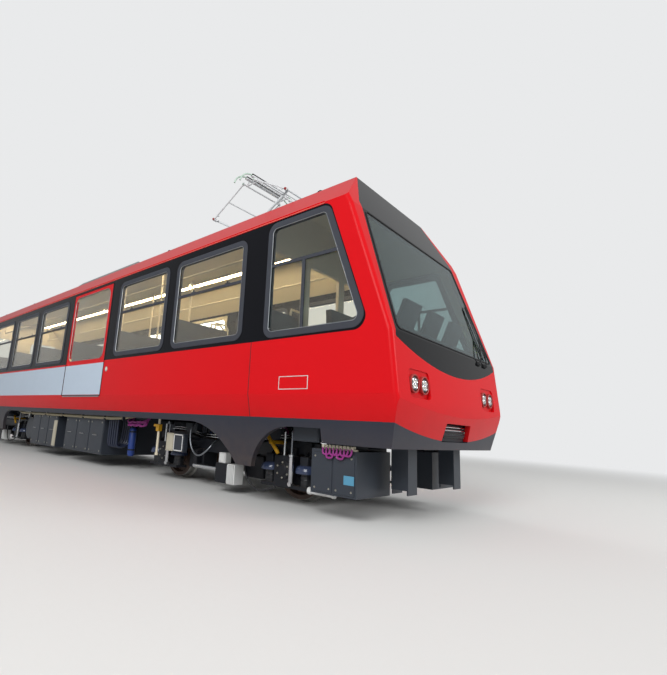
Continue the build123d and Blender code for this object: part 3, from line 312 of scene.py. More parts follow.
def rolled_wheel_steel(name):
    """Rolled and turned wheel steel: tread and flange bright from the rail, the rest under brown rust."""
    material, tree = blank_material(name)
    place = node(tree, "ShaderNodeTexCoord").outputs["Object"]
    rust = toned(tree, noise(tree, 60.0, 6.0, 0.7), linear("#2c2320"), linear("#5c4436"))
    # Distance from the nearest axle, from a start that is longer than the car
    nearest = 100.0
    for pivot in WHEELSETS.values():
        apart = node(tree, "ShaderNodeVectorMath", {0: place, 1: tuple(pivot)}, operation="SUBTRACT")
        flat = node(tree, "ShaderNodeVectorMath", {0: apart.outputs["Vector"], 1: (1.0, 0.0, 1.0)},
                    operation="MULTIPLY")
        length = node(tree, "ShaderNodeVectorMath", {0: flat.outputs["Vector"]}, operation="LENGTH")
        nearest = node(tree, "ShaderNodeMath", {0: nearest, 1: length.outputs["Value"]},
                       operation="MINIMUM").outputs["Value"]
    bright = node(tree, "ShaderNodeMapRange", {"Value": nearest, "From Min": 0.318, "From Max": 0.326}
                  ).outputs["Result"]
    skin = toned(tree, bright, rust, linear("#a8a6a2"))
    rough = node(tree, "ShaderNodeMapRange", {"Value": bright, "To Min": 0.62,
                                              "To Max": 0.28}).outputs["Result"]
    shaded(tree, skin, Roughness=rough, Metallic=bright,
           Normal=rounded_relief(tree, noise(tree, 8.0, 4.0), 0.25))
    return material


def light_diffuser_extruded(name):
    """Opal diffuser of a fluorescent lamp: an even warm glow."""
    material, tree = blank_material(name)
    shaded(tree, linear("#fff4e2"), Roughness=0.5, Emission_Color=linear("#ffe9c4"), Emission_Strength=24.0)
    return material


# Plain finishes: colour, roughness, metallic, grain mm, relief mm, share that the colour wanders, dust on top
PLAIN_FINISHES = {
    # Black two-pack lacquer under glass-like clear coat: mirrors the stage, hides the joint to the glass
    "black_lacquer_polished": ("#08090c", 0.07, 0.0, 40.0, 0.0, 0.05, 0.0),
    # Black film over the wall between the windows: flat, faintly blue, with a soft shine
    "black_film_laid": ("#0b0c12", 0.22, 0.0, 30.0, 0.01, 0.08, 0.0),
    # Moulded EPDM rubber: dull dark grey with a dusty bloom
    "epdm_rubber_moulded": ("#3a3d45", 0.50, 0.0, 3.0, 0.05, 0.10, 0.2),
    # Extruded rubber cord of the panel joints: nearly black, no shine
    "joint_rubber_extruded": ("#16171a", 0.75, 0.0, 4.0, 0.05, 0.05, 0.1),
    # Anodised aluminium bead: satin, cool grey
    "aluminium_anodised": ("#a9adb2", 0.35, 1.0, 1.5, 0.01, 0.05, 0.1),
    # Bright drawn steel: clean reflections with fine drawing lines
    "steel_drawn": ("#c9cbce", 0.24, 1.0, 2.0, 0.01, 0.06, 0.05),
    # Zinc-plated bolts: pale and slightly yellow where the plating ages
    "bolt_steel_zinc_plated": ("#a8a69c", 0.40, 1.0, 3.0, 0.03, 0.15, 0.15),
    # Machined steel with a film of oil: dark and shiny
    "steel_machined_oiled": ("#7d8087", 0.25, 1.0, 3.0, 0.02, 0.20, 0.1),
    # Cast steel in black primer, with brake dust and oil: rough, brown-black
    "cast_steel_primed": ("#17191f", 0.50, 0.0, 14.0, 0.50, 0.35, 0.25),
    # Welded frame in dark grey paint: smoother than the castings
    "frame_steel_painted": ("#1e2128", 0.42, 0.0, 20.0, 0.12, 0.25, 0.22),
    # Sheet steel cases in dark grey enamel: flat, satin, dusty on top
    "sheet_steel_enamelled": ("#343941", 0.38, 0.0, 25.0, 0.05, 0.12, 0.25),
    # Spring steel in black lacquer: smooth and shiny between dusty hollows
    "spring_steel_lacquered": ("#15171c", 0.32, 0.0, 8.0, 0.04, 0.2, 0.2),
    # Pressed hoods over the springs in blue-black lacquer, painted a paler blue as a painted reflection of
    # the sky; it mirrors the sky light on its rounded edge
    "hood_lacquer_polished": ("#343e58", 0.14, 0.0, 30.0, 0.0, 0.08, 0.05),
    # Cast motor housing with a skin of rust
    "cast_iron_rusted": ("#5a3a28", 0.78, 0.0, 9.0, 0.50, 0.35, 0.25),
    # Moulded hose rubber: matt black with a grey bloom
    "hose_rubber_moulded": ("#202226", 0.60, 0.0, 3.0, 0.08, 0.15, 0.2),
    # Woven steel sleeve over a hose, seen as a pale grey satin
    "hose_steel_braided": ("#8c9096", 0.40, 1.0, 2.0, 0.25, 0.15, 0.1),
    # Extruded hose of polyvinyl chloride: dark blue-grey with a wet shine
    "hose_vinyl_extruded": ("#232a3c", 0.18, 0.0, 20.0, 0.0, 0.1, 0.1),
    # Extruded cable sheath of the high-voltage leads
    "cable_sheath_violet": ("#8e2a7c", 0.45, 0.0, 3.0, 0.05, 0.12, 0.1),
    # Corrugated conduit, sun-bleached beige
    "conduit_beige_corrugated": ("#a39a7e", 0.55, 0.0, 6.0, 0.20, 0.12, 0.2),
    # Yellow lever enamel, chipped and dusty
    "lever_enamel_yellow": ("#b98a12", 0.45, 0.0, 6.0, 0.10, 0.25, 0.15),
    # Blue enamel of the air reservoir
    "reservoir_enamel_blue": ("#233f86", 0.40, 0.0, 10.0, 0.05, 0.12, 0.2),
    # Cream enamel of small instrument boxes
    "box_enamel_cream": ("#b9b3a0", 0.45, 0.0, 8.0, 0.05, 0.10, 0.25),
    # White enamel on tubes and small plates
    "enamel_white": ("#d6d7d6", 0.40, 0.0, 10.0, 0.03, 0.06, 0.1),
    # Printed label, left bare: smooth pale blue
    "label_film_blue": ("#4f8fae", 0.35, 0.0, 10.0, 0.0, 0.05, 0.0),
    # Moulded seat shell: dark grey ABS with a fine leather grain
    "seat_abs_moulded": ("#4a4d52", 0.48, 0.0, 2.5, 0.12, 0.10, 0.0),
    # Cream laminate of the cab wall
    "laminate_cream_pressed": ("#ddd3be", 0.38, 0.0, 5.0, 0.01, 0.05, 0.0),
    # Cream powder coat on grab rails
    "rail_powder_coated": ("#dcd2ba", 0.30, 0.0, 4.0, 0.02, 0.04, 0.0),
    # Grey moulded desk top with a fine grain
    "desk_abs_moulded": ("#33363b", 0.50, 0.0, 2.5, 0.10, 0.08, 0.1),
    # Screens and gauges that are switched off: black glass
    "screen_glass_black": ("#07090c", 0.05, 0.0, 20.0, 0.0, 0.0, 0.0),
    # Bare banner film: pale blue white, even
    "banner_film_laid": ("#bccbdb", 0.30, 0.0, 60.0, 0.01, 0.03, 0.0),
    # Roof equipment in light grey paint, streaked by rain
    "roof_case_painted": ("#8b9092", 0.48, 0.0, 30.0, 0.06, 0.18, 0.35),
    # Silicone of the insulators: brown-red, waxy
    "silicone_insulator_moulded": ("#7d3a2a", 0.35, 0.0, 8.0, 0.02, 0.10, 0.25),
    # Aluminium tube of the pantograph, painted bright
    "panto_tube_painted": ("#dadcde", 0.34, 0.0, 10.0, 0.03, 0.06, 0.1),
    # Red enamel on the pantograph's springs and heads
    "panto_enamel_red": ("#9c2f2c", 0.45, 0.0, 8.0, 0.05, 0.15, 0.1),
    # Carbon of the contact strips: dull black, polished along the top
    "carbon_strip_pressed": ("#1c1c1e", 0.42, 0.0, 4.0, 0.05, 0.15, 0.0),
    # Glass fibre horn ends, pale green
    "horn_fibreglass_moulded": ("#b7cdbf", 0.35, 0.0, 8.0, 0.02, 0.06, 0.0),
    # Vacuum-plated reflectors of the lamps
    "reflector_plated": ("#e4e6ea", 0.08, 1.0, 10.0, 0.0, 0.0, 0.0),
    # Emitters of the lamps under their lens
    "emitter_silicone": ("#e8e2d0", 0.30, 0.0, 10.0, 0.0, 0.02, 0.0),
    # Red lens of the tail lamps, moulded acrylic
    "tail_lens_moulded": ("#7a0c12", 0.12, 0.0, 12.0, 0.10, 0.05, 0.0),
    # Chrome-plated trims
    "chrome_plated": ("#d8dadd", 0.12, 1.0, 10.0, 0.0, 0.0, 0.05),
}
# Specular level of the finishes that mirror less than the others, which have the shader's usual level
SPECULAR_LEVELS = {
    "black_lacquer_polished": 0.22,
    "banner_film_laid": 0.2,
    "black_film_laid": 0.16,
    "epdm_rubber_moulded": 0.3,
    "cast_steel_primed": 0.3,
    "frame_steel_painted": 0.3,
    "sheet_steel_enamelled": 0.3,
}
USUAL_SPECULAR_LEVEL = 0.5


def plain_surface(tree, name):
    """Shader from its row: a colour that wanders, dust where it can lie, a fine relief and soft edges."""
    code, roughness, metallic, grain, relief, wander, dust = PLAIN_FINISHES[name]
    base = linear(code)
    skin = toned(tree, noise(tree, 350.0, 6.0, 0.65), scaled(base, 1.0 - wander), scaled(base, 1.0 + wander))
    if dust > 0.0:
        skin = toned(tree, upward_share(tree, patches(tree, 90.0, dust * 1.6)), skin, linear("#7b6c5a"))
    worn = node(tree, "ShaderNodeMapRange", {"Value": noise(tree, 220.0, 5.0, 0.7), "To Min": roughness * 0.8,
                                             "To Max": min(1.0, roughness * 1.25)}).outputs["Result"]
    return node(tree, "ShaderNodeBsdfPrincipled", {
        "Base Color": skin, "Roughness": worn, "Metallic": metallic,
        "Specular IOR Level": SPECULAR_LEVELS.get(name, USUAL_SPECULAR_LEVEL),
        "Normal": rounded_relief(tree, noise(tree, grain, 3.0), relief)}).outputs["BSDF"]


def plain_finish(name):
    """Material with one plain finish all over."""
    material, tree = blank_material(name)
    node(tree, "ShaderNodeOutputMaterial", {"Surface": plain_surface(tree, name)})
    return material


# Finishes of the nodes that are put together from several materials: the finish of the whole, then each
# other finish with its zones
SPRING_ZONES = [{"x": (x + out - 0.075, x + out + 0.075), "out": (0.71, 0.86), "z": (0.214, 0.418)}
                for axles in AXLES.values() for x in axles for out in (-SPRING_OUT, SPRING_OUT)]
ZONED_FINISHES = {
    "bogie_gear_assembled": ("cast_steel_primed", (
        ("spring_steel_lacquered", SPRING_ZONES),
        ("steel_drawn", [{"out": (0.852, 0.885), "z": (0.51, 0.76)}]),
    )),
    "drive_units_assembled": ("cast_iron_rusted", (
        ("frame_steel_painted", [{"y": (0.179, 0.291)}]),
    )),
    "panto_head_assembled": ("panto_tube_painted", (
        ("carbon_strip_pressed", [{"out": (-0.1, 0.4205), "z": (4.585, 4.62)}]),
        ("horn_fibreglass_moulded", [{"out": (0.4205, 0.80), "z": (4.3, 4.7)}]),
    )),
    "saloon_fittings_assembled": ("seat_abs_moulded", (
        ("rail_powder_coated", [{"x": (DOOR_LOW.x, DOOR_HIGH.x)}]),
    )),
}


def zoned_finish(name):
    """Material whose zones carry finishes of their own."""
    whole, others = ZONED_FINISHES[name]
    material, tree = blank_material(name)
    surface = plain_surface(tree, whole)
    for finish_name, zones in others:
        surface = node(tree, "ShaderNodeMixShader", {
            0: zone_share(tree, zones), 1: surface, 2: plain_surface(tree, finish_name)}).outputs["Shader"]
    node(tree, "ShaderNodeOutputMaterial", {"Surface": surface})
    return material


SPECIAL_FINISHES = {
    "red_enamel_sprayed": red_enamel_sprayed,
    "skirt_enamel_sprayed": skirt_enamel_sprayed,
    "toughened_glass_floated": toughened_glass_floated,
    "laminated_glass_tinted": laminated_glass_tinted,
    "lamp_glass_pressed": lamp_glass_pressed,
    "rolled_wheel_steel": rolled_wheel_steel,
    "light_diffuser_extruded": light_diffuser_extruded,
}


def finish(name):
    """The material of that name, made when it is first asked for."""
    if name in bpy.data.materials:
        return bpy.data.materials[name]
    if name in ZONED_FINISHES:
        return zoned_finish(name)
    return SPECIAL_FINISHES.get(name, plain_finish)(name)


# Shapes


class Form:
    """A mesh in the making: closed shapes are added one after the other, and it is then placed on a body."""

    def __init__(self):
        self.mesh = bmesh.new()

    def skin(self, rings, closed_round=False):
        """Joins rings of equally many points with faces, and caps the first and the last."""
        rows = [[self.mesh.verts.new(point) for point in ring] for ring in rings]
        pairs = list(zip(rows, rows[1:]))
        if closed_round:
            pairs.append((rows[-1], rows[0]))
        count = len(rows[0])
        for one, two in pairs:
            for k in range(count):
                self.mesh.faces.new((one[k], one[(k + 1) % count], two[(k + 1) % count], two[k]))
        if not closed_round:
            self.mesh.faces.new(rows[0])
            self.mesh.faces.new(rows[-1])

    def block(self, low, high):
        """Box between two opposite corners, to be rounded when it is placed."""
        (x0, x1), (y0, y1), (z0, z1) = [sorted(pair) for pair in zip(low, high)]
        self.skin([[(x0, y0, z), (x1, y0, z), (x1, y1, z), (x0, y1, z)] for z in (z0, z1)])

    def blocks(self, corners, side, middle=0.0, facing=1):
        """Boxes of one side, each by two corners: x from middle, distance from the middle plane, height."""
        for pair in corners:
            self.block(*[(middle + facing * x, side * y, z) for x, y, z in pair])

    def prism(self, outline, depth):
        """Flat outline of points, made thick by the vector depth."""
        shift = Vector(depth)
        self.skin([[Vector(p) for p in outline], [Vector(p) + shift for p in outline]])

    def turned(self, foot, axis, profile, sides=24):
        """Turned shape. The profile's rows are the distance along the axis and the radius."""
        along = Vector(axis).normalized()
        across = along.orthogonal().normalized()
        aside = along.cross(across)
        turns = [2.0 * math.pi * k / sides for k in range(sides)]
        self.skin([[Vector(foot) + along * distance + (across * math.cos(t) + aside * math.sin(t)) * radius
                    for t in turns] for distance, radius in profile])

    def bolt(self, foot, axis, size):
        """Hexagon head with a washer under it; size is half its width across the corners."""
        self.turned(foot, axis, [(0.0, size * 1.25), (size * 0.2, size * 1.25)], 16)
        self.turned(foot, axis, [(size * 0.2, size), (size * 0.85, size), (size, size * 0.8)], 6)

    def bolt_circle(self, middle, side, radius, count, size, first=0.0):
        """Bolts evenly round a circle that faces outwards, the first of them at an angle in degrees."""
        for k in range(count):
            turn = math.radians(first + 360.0 / count * k)
            spoke = Vector((math.cos(turn), 0.0, math.sin(turn)))
            self.bolt(Vector(middle) + spoke * radius, (0, side, 0), size)

    def tube(self, points, radius, sides=10, closed=False):
        """Round tube through points, mitred at each of them."""
        points = [Vector(p) for p in points]
        ahead = points[1:] + points[:1] if closed else points[1:]
        steps = [(b - a).normalized() for a, b in zip(points, ahead)]
        across = steps[0].orthogonal().normalized()
        before = steps[-1] if closed else steps[0]
        rings = []
        for number, point in enumerate(points):
            after = steps[min(number, len(steps) - 1)]
            joint = (before + after).normalized()
            across = (across - after * across.dot(after)).normalized()
            aside = after.cross(across)
            ring = []
            for k in range(sides):
                turn = 2.0 * math.pi * k / sides
                spoke = (across * math.cos(turn) + aside * math.sin(turn)) * radius
                ring.append(point + spoke - after * (spoke.dot(joint) / after.dot(joint)))
            rings.append(ring)
            before = after
        self.skin(rings, closed)

    def coil(self, foot, radius, height, turns, wire, steps=16):
        """Upright coil spring with its end turns closed up."""
        count = int(turns * steps)
        points = []
        for k in range(count + 1):
            share = k / count
            rise = (share * turns - 0.75) / (turns - 1.5)
            turn = 2.0 * math.pi * turns * share
            points.append(Vector(foot) + Vector((radius * math.cos(turn), radius * math.sin(turn),
                                                 wire + (height - 2 * wire) * min(1.0, max(0.0, rise)))))
        self.tube(points, wire, 7)

    def place(self, name, finish_name, body="car_body", edge=0.0):
        """Makes the object with its finish and rounded edges, riding on the body."""
        bmesh.ops.recalc_face_normals(self.mesh, faces=self.mesh.faces)
        mesh = bpy.data.meshes.new(name)
        self.mesh.to_mesh(mesh)
        self.mesh.free()
        mesh.polygons.foreach_set("use_smooth", [True] * len(mesh.polygons))
        mesh.set_sharp_from_angle(angle=math.radians(38.0))
        mesh.materials.append(finish(finish_name))
        piece = bpy.data.objects.new(name, mesh)
        bpy.context.scene.collection.objects.link(piece)
        if edge > 0.0:
            rounding = piece.modifiers.new("Rounded edges", "BEVEL")
            rounding.width = edge
            rounding.segments = 2
            rounding.limit_method = "ANGLE"
            rounding.angle_limit = math.radians(50.0)
        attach(piece, body)


def pipes(name, runs, radius, finish_name, body="car_body"):
    """Bent pipes or clipped hoses: each run is the list of points that its smooth line is drawn by."""
    curve = bpy.data.curves.new(name, "CURVE")
    curve.dimensions = "3D"
    curve.bevel_depth = radius
    curve.bevel_resolution = 2
    curve.resolution_u = 5
    curve.use_fill_caps = True
    for points in runs:
        spline = curve.splines.new("NURBS")
        spline.points.add(len(points) - 1)
        for made, point in zip(spline.points, points):
            made.co = (*point, 1.0)
        spline.order_u = 3
        spline.use_endpoint_u = True
    curve.materials.append(finish(finish_name))
    piece = bpy.data.objects.new(name, curve)
    bpy.context.scene.collection.objects.link(piece)
    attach(piece, body)


def forms(count):
    """That many empty forms."""
    return [Form() for _ in range(count)]


def place_all(suffix, body, rows):
    """Places forms on a body. A row holds a form, the start of its name, its finish and perhaps its edge."""
    for form, name, finish_name, *edge in rows:
        form.place(name + suffix, finish_name, body, *edge)


def mirrored(side, points, x=0.0, z=0.0):
    """Points of the left side put on either side of the car, moved by x and z."""
    return [(x + along, side * out, z + height) for along, out, height in points]


def parts_of(name):
    """The separate solids of a CAD node, from the front to the rear, each as its list of corner points."""
    mesh = NODES[name].data
    places = {}
    index = [places.setdefault(tuple(round(c, 5) for c in v.co), len(places)) for v in mesh.vertices]
    leader = list(range(len(places)))

    def lead(k):
        while leader[k] != k:
            leader[k] = leader[leader[k]]
            k = leader[k]
        return k

    for edge in mesh.edges:
        leader[lead(index[edge.vertices[0]])] = lead(index[edge.vertices[1]])
    groups = {}
    for place, k in places.items():
        groups.setdefault(lead(k), []).append(Vector(place))
    return sorted(groups.values(), key=lambda points: -max(p.x for p in points))


def box_of(points):
    """Lowest and highest corner of some points."""
    return (Vector([min(p[k] for p in points) for k in range(3)]),
            Vector([max(p[k] for p in points) for k in range(3)]))


def face_outline(points, y):
    """Outline of a pane's flat face that lies at y: its points in their order round it."""
    flat = [p for p in points if abs(p.y - y) < 1e-4]
    middle = sum(flat, Vector()) / len(flat)
    return sorted(flat, key=lambda p: math.atan2(p.z - middle.z, p.x - middle.x))


def grown(outline, amount):
    """Closed outline on a side wall, moved outwards in the wall's plane by amount."""
    moved = []
    for k, point in enumerate(outline):
        step = outline[(k + 1) % len(outline)] - outline[k - 1]
        moved.append(point + Vector((step.z, 0.0, -step.x)).normalized() * amount)
    return moved


def rounded(corners, radius, steps=6):
    """Flat outline with rounded corners."""
    points = []
    for k, corner in enumerate(corners):
        corner = Vector(corner)
        one = (Vector(corners[k - 1]) - corner).normalized()
        two = (Vector(corners[(k + 1) % len(corners)]) - corner).normalized()
        half = one.angle(two) / 2
        centre = corner + (one + two).normalized() * radius / math.sin(half)
        start = corner + one * radius / math.tan(half) - centre
        end = corner + two * radius / math.tan(half) - centre
        turn = start.angle_signed(end)
        for step in range(steps + 1):
            points.append(centre + Matrix.Rotation(-turn * step / steps, 2) @ start)
    return points


# Finishes of the CAD nodes, by the start of the node's name
NODE_FINISHES = (
    ("windshield_surround", "black_lacquer_polished"),
    ("windshield", "laminated_glass_tinted"),
    ("headlights", "lamp_glass_pressed"),
    ("front_skirt", "skirt_enamel_sprayed"),
    ("skirt_", "skirt_enamel_sprayed"),
    ("cab_shell", "red_enamel_sprayed"),
    ("roof_resistor", "roof_case_painted"),
    ("roof", "red_enamel_sprayed"),
    ("rear_wall", "red_enamel_sprayed"),
    ("side_panel_", "red_enamel_sprayed"),
    ("door_", "red_enamel_sprayed"),
    ("rear_windows", "toughened_glass_floated"),
    ("window_glass_", "toughened_glass_floated"),
    ("window_band_", "black_film_laid"),
    ("window_frames_", "epdm_rubber_moulded"),
    ("saloon_fittings", "saloon_fittings_assembled"),
    ("cab_partition", "laminate_cream_pressed"),
    ("driver_place", "desk_abs_moulded"),
    ("underframe", "frame_steel_painted"),
    ("front_coupler", "frame_steel_painted"),
    ("rear_coupler", "cast_steel_primed"),
    ("underfloor_equipment", "sheet_steel_enamelled"),
    ("rail_guards", "sheet_steel_enamelled"),
    ("bogie_frame_", "frame_steel_painted"),
    ("bogie_gear_", "bogie_gear_assembled"),
    ("drive_units_", "drive_units_assembled"),
    ("wheelset_", "rolled_wheel_steel"),
    ("panto_base", "panto_tube_painted"),
    ("panto_head", "panto_head_assembled"),
    ("panto_", "panto_tube_painted"),
)


class RACKCAR_OT_node_finishes(bpy.types.Operator):
    """Give every CAD solid its finish"""
    bl_idname = "rackcar.node_finishes"
    bl_label = "Finish the solids"

    def execute(self, context):
        for name, piece in NODES.items():
            finish_name = next(found for start, found in NODE_FINISHES if name.startswith(start))
            piece.data.materials.clear()
            piece.data.materials.append(finish(finish_name))
        return {"FINISHED"}


# Stage: the camera of the photograph, soft lamps, a pale floor and what is seen past it
CAMERA_EYE = (8.7038, -4.6376, 0.8053)
CAMERA_FORWARD = (-0.68555, 0.70156, 0.19459)
CAMERA_RIGHT = (0.72224, 0.68910, 0.05968)
CAMERA_SHIFT_X = 0.097
FLOOR_RADIUS = 90.0
FLOOR_FADE = (10.0, 20.0)
# Soft lamps: name, place, point that it faces, width and power
LAMPS = (
    ("Lamp_key", (10.0, -13.0, 9.5), (1.0, 0.0, 1.5), 9.0, 1650.0),
    ("Lamp_front", (17.0, 5.0, 7.0), (5.0, 0.0, 1.5), 7.0, 800.0),
    ("Lamp_rear", (-13.0, 11.0, 9.0), (-1.0, 0.0, 1.5), 9.0, 900.0),
)


def backdrop_strength(tree, ambient):
    """Full strength where the backdrop is seen, also through glass, and the ambient level for its light."""
    rays = node(tree, "ShaderNodeLightPath").outputs
    seen = node(tree, "ShaderNodeMath", {0: rays["Is Camera Ray"], 1: rays["Is Transmission Ray"]},
                operation="MAXIMUM").outputs["Value"]
    return node(tree, "ShaderNodeMapRange", {"Value": seen, "To Min": ambient}).outputs["Result"]


class RACKCAR_OT_stage(bpy.types.Operator):
    """Set up the camera, the lamps, the floor and the backdrop"""
    bl_idname = "rackcar.stage"
    bl_label = "Stage"

    def execute(self, context):
        scene = context.scene
        sizes, colours = scene.rackcar_sizes, scene.rackcar_colours
        self.floor(tuple(colours.floor), tuple(colours.backdrop), sizes.ambient)
        world = scene.world or bpy.data.worlds.new("Studio")
        scene.world = world
        world.use_nodes = True
        world.node_tree.nodes.clear()
        strength = backdrop_strength(world.node_tree, sizes.ambient)
        sky = node(world.node_tree, "ShaderNodeBackground", {"Color": tuple(colours.backdrop),
                                                             "Strength": strength})
        node(world.node_tree, "ShaderNodeOutputWorld", {"Surface": sky.outputs["Background"]})
        for name, place, target, width, power in LAMPS:
            lamp = bpy.data.lights.new(name, "AREA")
            lamp.shape = "DISK"
            lamp.size = width
            lamp.energy = power
            holder = bpy.data.objects.new(name, lamp)
            holder.location = place
            holder.rotation_euler = (Vector(target) - Vector(place)).to_track_quat("-Z", "Y").to_euler()
            scene.collection.objects.link(holder)
        self.camera(scene, sizes.focal_length)
        scene.view_settings.view_transform = "Standard"
        return {"FINISHED"}

    def floor(self, colour, backdrop, ambient):
        """Round floor that fades into the backdrop well away from the car."""
        mesh = bmesh.new()
        bmesh.ops.create_circle(mesh, cap_ends=True, radius=FLOOR_RADIUS, segments=96)
        data = bpy.data.meshes.new("Floor")
        mesh.to_mesh(data)
        mesh.free()
        material, tree = blank_material("studio_floor_matt")
        place = node(tree, "ShaderNodeTexCoord").outputs["Object"]
        away = node(tree, "ShaderNodeVectorMath", {0: place}, operation="LENGTH").outputs["Value"]
        fade = node(tree, "ShaderNodeMapRange", {"Value": away, "From Min": FLOOR_FADE[0],
                                                 "From Max": FLOOR_FADE[1]}, interpolation_type="SMOOTHSTEP")
        matt = node(tree, "ShaderNodeBsdfPrincipled", {"Base Color": colour, "Roughness": 0.75,
                                                       "Specular IOR Level": 0.2})
        glow = node(tree, "ShaderNodeEmission", {"Color": backdrop,
                                                 "Strength": backdrop_strength(tree, ambient)})
        both = node(tree, "ShaderNodeMixShader", {0: fade.outputs["Result"], 1: matt.outputs["BSDF"],
                                                  2: glow.outputs["Emission"]})
        node(tree, "ShaderNodeOutputMaterial", {"Surface": both.outputs["Shader"]})
        data.materials.append(material)
        floor = bpy.data.objects.new("Floor", data)
        bpy.context.scene.collection.objects.link(floor)

    def camera(self, scene, focal_length):
        """Camera at the place and with the slight roll that the photograph was taken with."""
        lens = bpy.data.cameras.new("Camera")
        lens.lens = focal_length
        lens.shift_x = CAMERA_SHIFT_X
        lens.clip_start = 0.05
        lens.clip_end = 400.0
        camera = bpy.data.objects.new("Camera", lens)
        back = -Vector(CAMERA_FORWARD).normalized()
        right = Vector(CAMERA_RIGHT)
        right = (right - back * right.dot(back)).normalized()
        up = back.cross(right)
        turn = Matrix((right, up, back)).transposed().to_4x4()
        camera.matrix_world = Matrix.Translation(CAMERA_EYE) @ turn
        scene.collection.objects.link(camera)
        scene.camera = camera


class RACKCAR_OT_body_trim(bpy.types.Operator):
    """Seams, banner films, gutters, door seals, buttons and sills, and the frame of the bare plate"""
    bl_idname = "rackcar.body_trim"
    bl_label = "Body trim"

    def execute(self, context):
        sizes = context.scene.rackcar_sizes
        for side, side_name in SIDES:
            self.seams(side, side_name, sizes.seam_width)
            self.banner(side, side_name, sizes.film_thickness)
            self.gutter(side, side_name)
            self.door(side, side_name)
        self.plate()
        return {"FINISHED"}

    def seams(self, side, side_name, width):
        """Rubber-filled joints between the cab, the side wall and the rear wall, along the wall's lean."""
        heights = (RED_FOOT, CREASE, WAIST)
        section = [(wall_y(z) - 0.004, z) for z in heights]
        section += [(wall_y(z) + 0.0006, z) for z in reversed(heights)]
        form = Form()
        for x in (CAB_JOINT_X, REAR_X + 0.06):
            form.prism([(x - width / 2, side * y, z) for y, z in section], (width, 0.0, 0.0))
        form.place("panel_seams_" + side_name, "joint_rubber_extruded")

    def banner(self, side, side_name, thickness):
        """Bare film over the door leaf and over the wall behind it."""
        form = Form()
        form.blocks([((x_rear + 0.012, HALF_WIDTH - 0.002, CREASE + 0.012),
                      (x_front - 0.012, HALF_WIDTH + thickness, WAIST - 0.03))
                     for x_rear, x_front in ((DOOR_LOW.x, DOOR_HIGH.x), (REAR_X, DOOR_LOW.x))], side)
        form.place("banner_film_" + side_name, "banner_film_laid")

    def gutter(self, side, side_name):
        """Rain gutter along the cantrail, from the rear wall to the head of the cab window."""
        section = [(0.0, 0.0), (0.006, 0.002), (0.009, 0.018), (0.005, 0.020), (0.003, 0.008), (0.0, 0.010)]
        x_rear, x_front = REAR_X + 0.02, behind_nose(0.75)
        form = Form()
        form.prism([(x_rear, side * (HALF_WIDTH - 0.002 + y), CANTRAIL - 0.012 + z) for y, z in section],
                   (x_front - x_rear, 0.0, 0.0))
        form.place("gutter_" + side_name, "red_enamel_sprayed")

    def door(self, side, side_name):
        """Seal round the door leaf, its push button in a ring, and the sill under it."""
        seal, ring, cap, sill = forms(4)
        y = side * (HALF_WIDTH + 0.001)
        seal.tube([(DOOR_LOW.x, y, DOOR_LOW.z), (DOOR_HIGH.x, y, DOOR_LOW.z), (DOOR_HIGH.x, y, DOOR_HIGH.z),
                   (DOOR_LOW.x, y, DOOR_HIGH.z)], 0.007, 8, closed=True)
        foot = (DOOR_HIGH.x + 0.11, side * (HALF_WIDTH - 0.009), FLOOR_TOP + 0.42)
        ring.turned(foot, (0, side, 0), [(0.0, 0.042), (0.010, 0.042), (0.014, 0.036), (0.009, 0.030),
                                         (0.009, 0.001)])
        cap.turned(foot, (0, side, 0), [(0.004, 0.027), (0.012, 0.027), (0.015, 0.021), (0.016, 0.001)])
        sill.blocks([((DOOR_LOW.x + 0.04, HALF_WIDTH - 0.01, FLOOR_TOP - 0.024),
                      (DOOR_HIGH.x - 0.04, HALF_WIDTH + 0.006, FLOOR_TOP - 0.004))], side)
        place_all("_" + side_name, "car_body", (
            (seal, "door_seal", "joint_rubber_extruded"),
            (ring, "door_button_ring", "chrome_plated"),
            (cap, "door_button", "emitter_silicone"),
            (sill, "door_sill", "aluminium_anodised", 0.003)))

    def plate(self):
        """Frame of the bare plate low on the cab's right side."""
        corners = ((5.635, 1.180), (6.005, 1.180), (6.005, 1.305), (5.635, 1.305))
        rim = Form()
        rim.tube([(x, -HALF_WIDTH - 0.001, z) for x, z in corners], 0.004, 8, closed=True)
        rim.place("side_plate_rim", "enamel_white")


# Hand latch of a hinged pane, on the bar under it: its base and its lever
LATCH_BAR_Z = RAIL_TOP + 2.42
HAND_LATCH = [((-half, HALF_WIDTH - 0.032, LATCH_BAR_Z + foot),
               (half, HALF_WIDTH - 0.024, LATCH_BAR_Z + head))
              for half, foot, head in ((0.045, 0.016, 0.040), (0.015, 0.036, 0.062))]


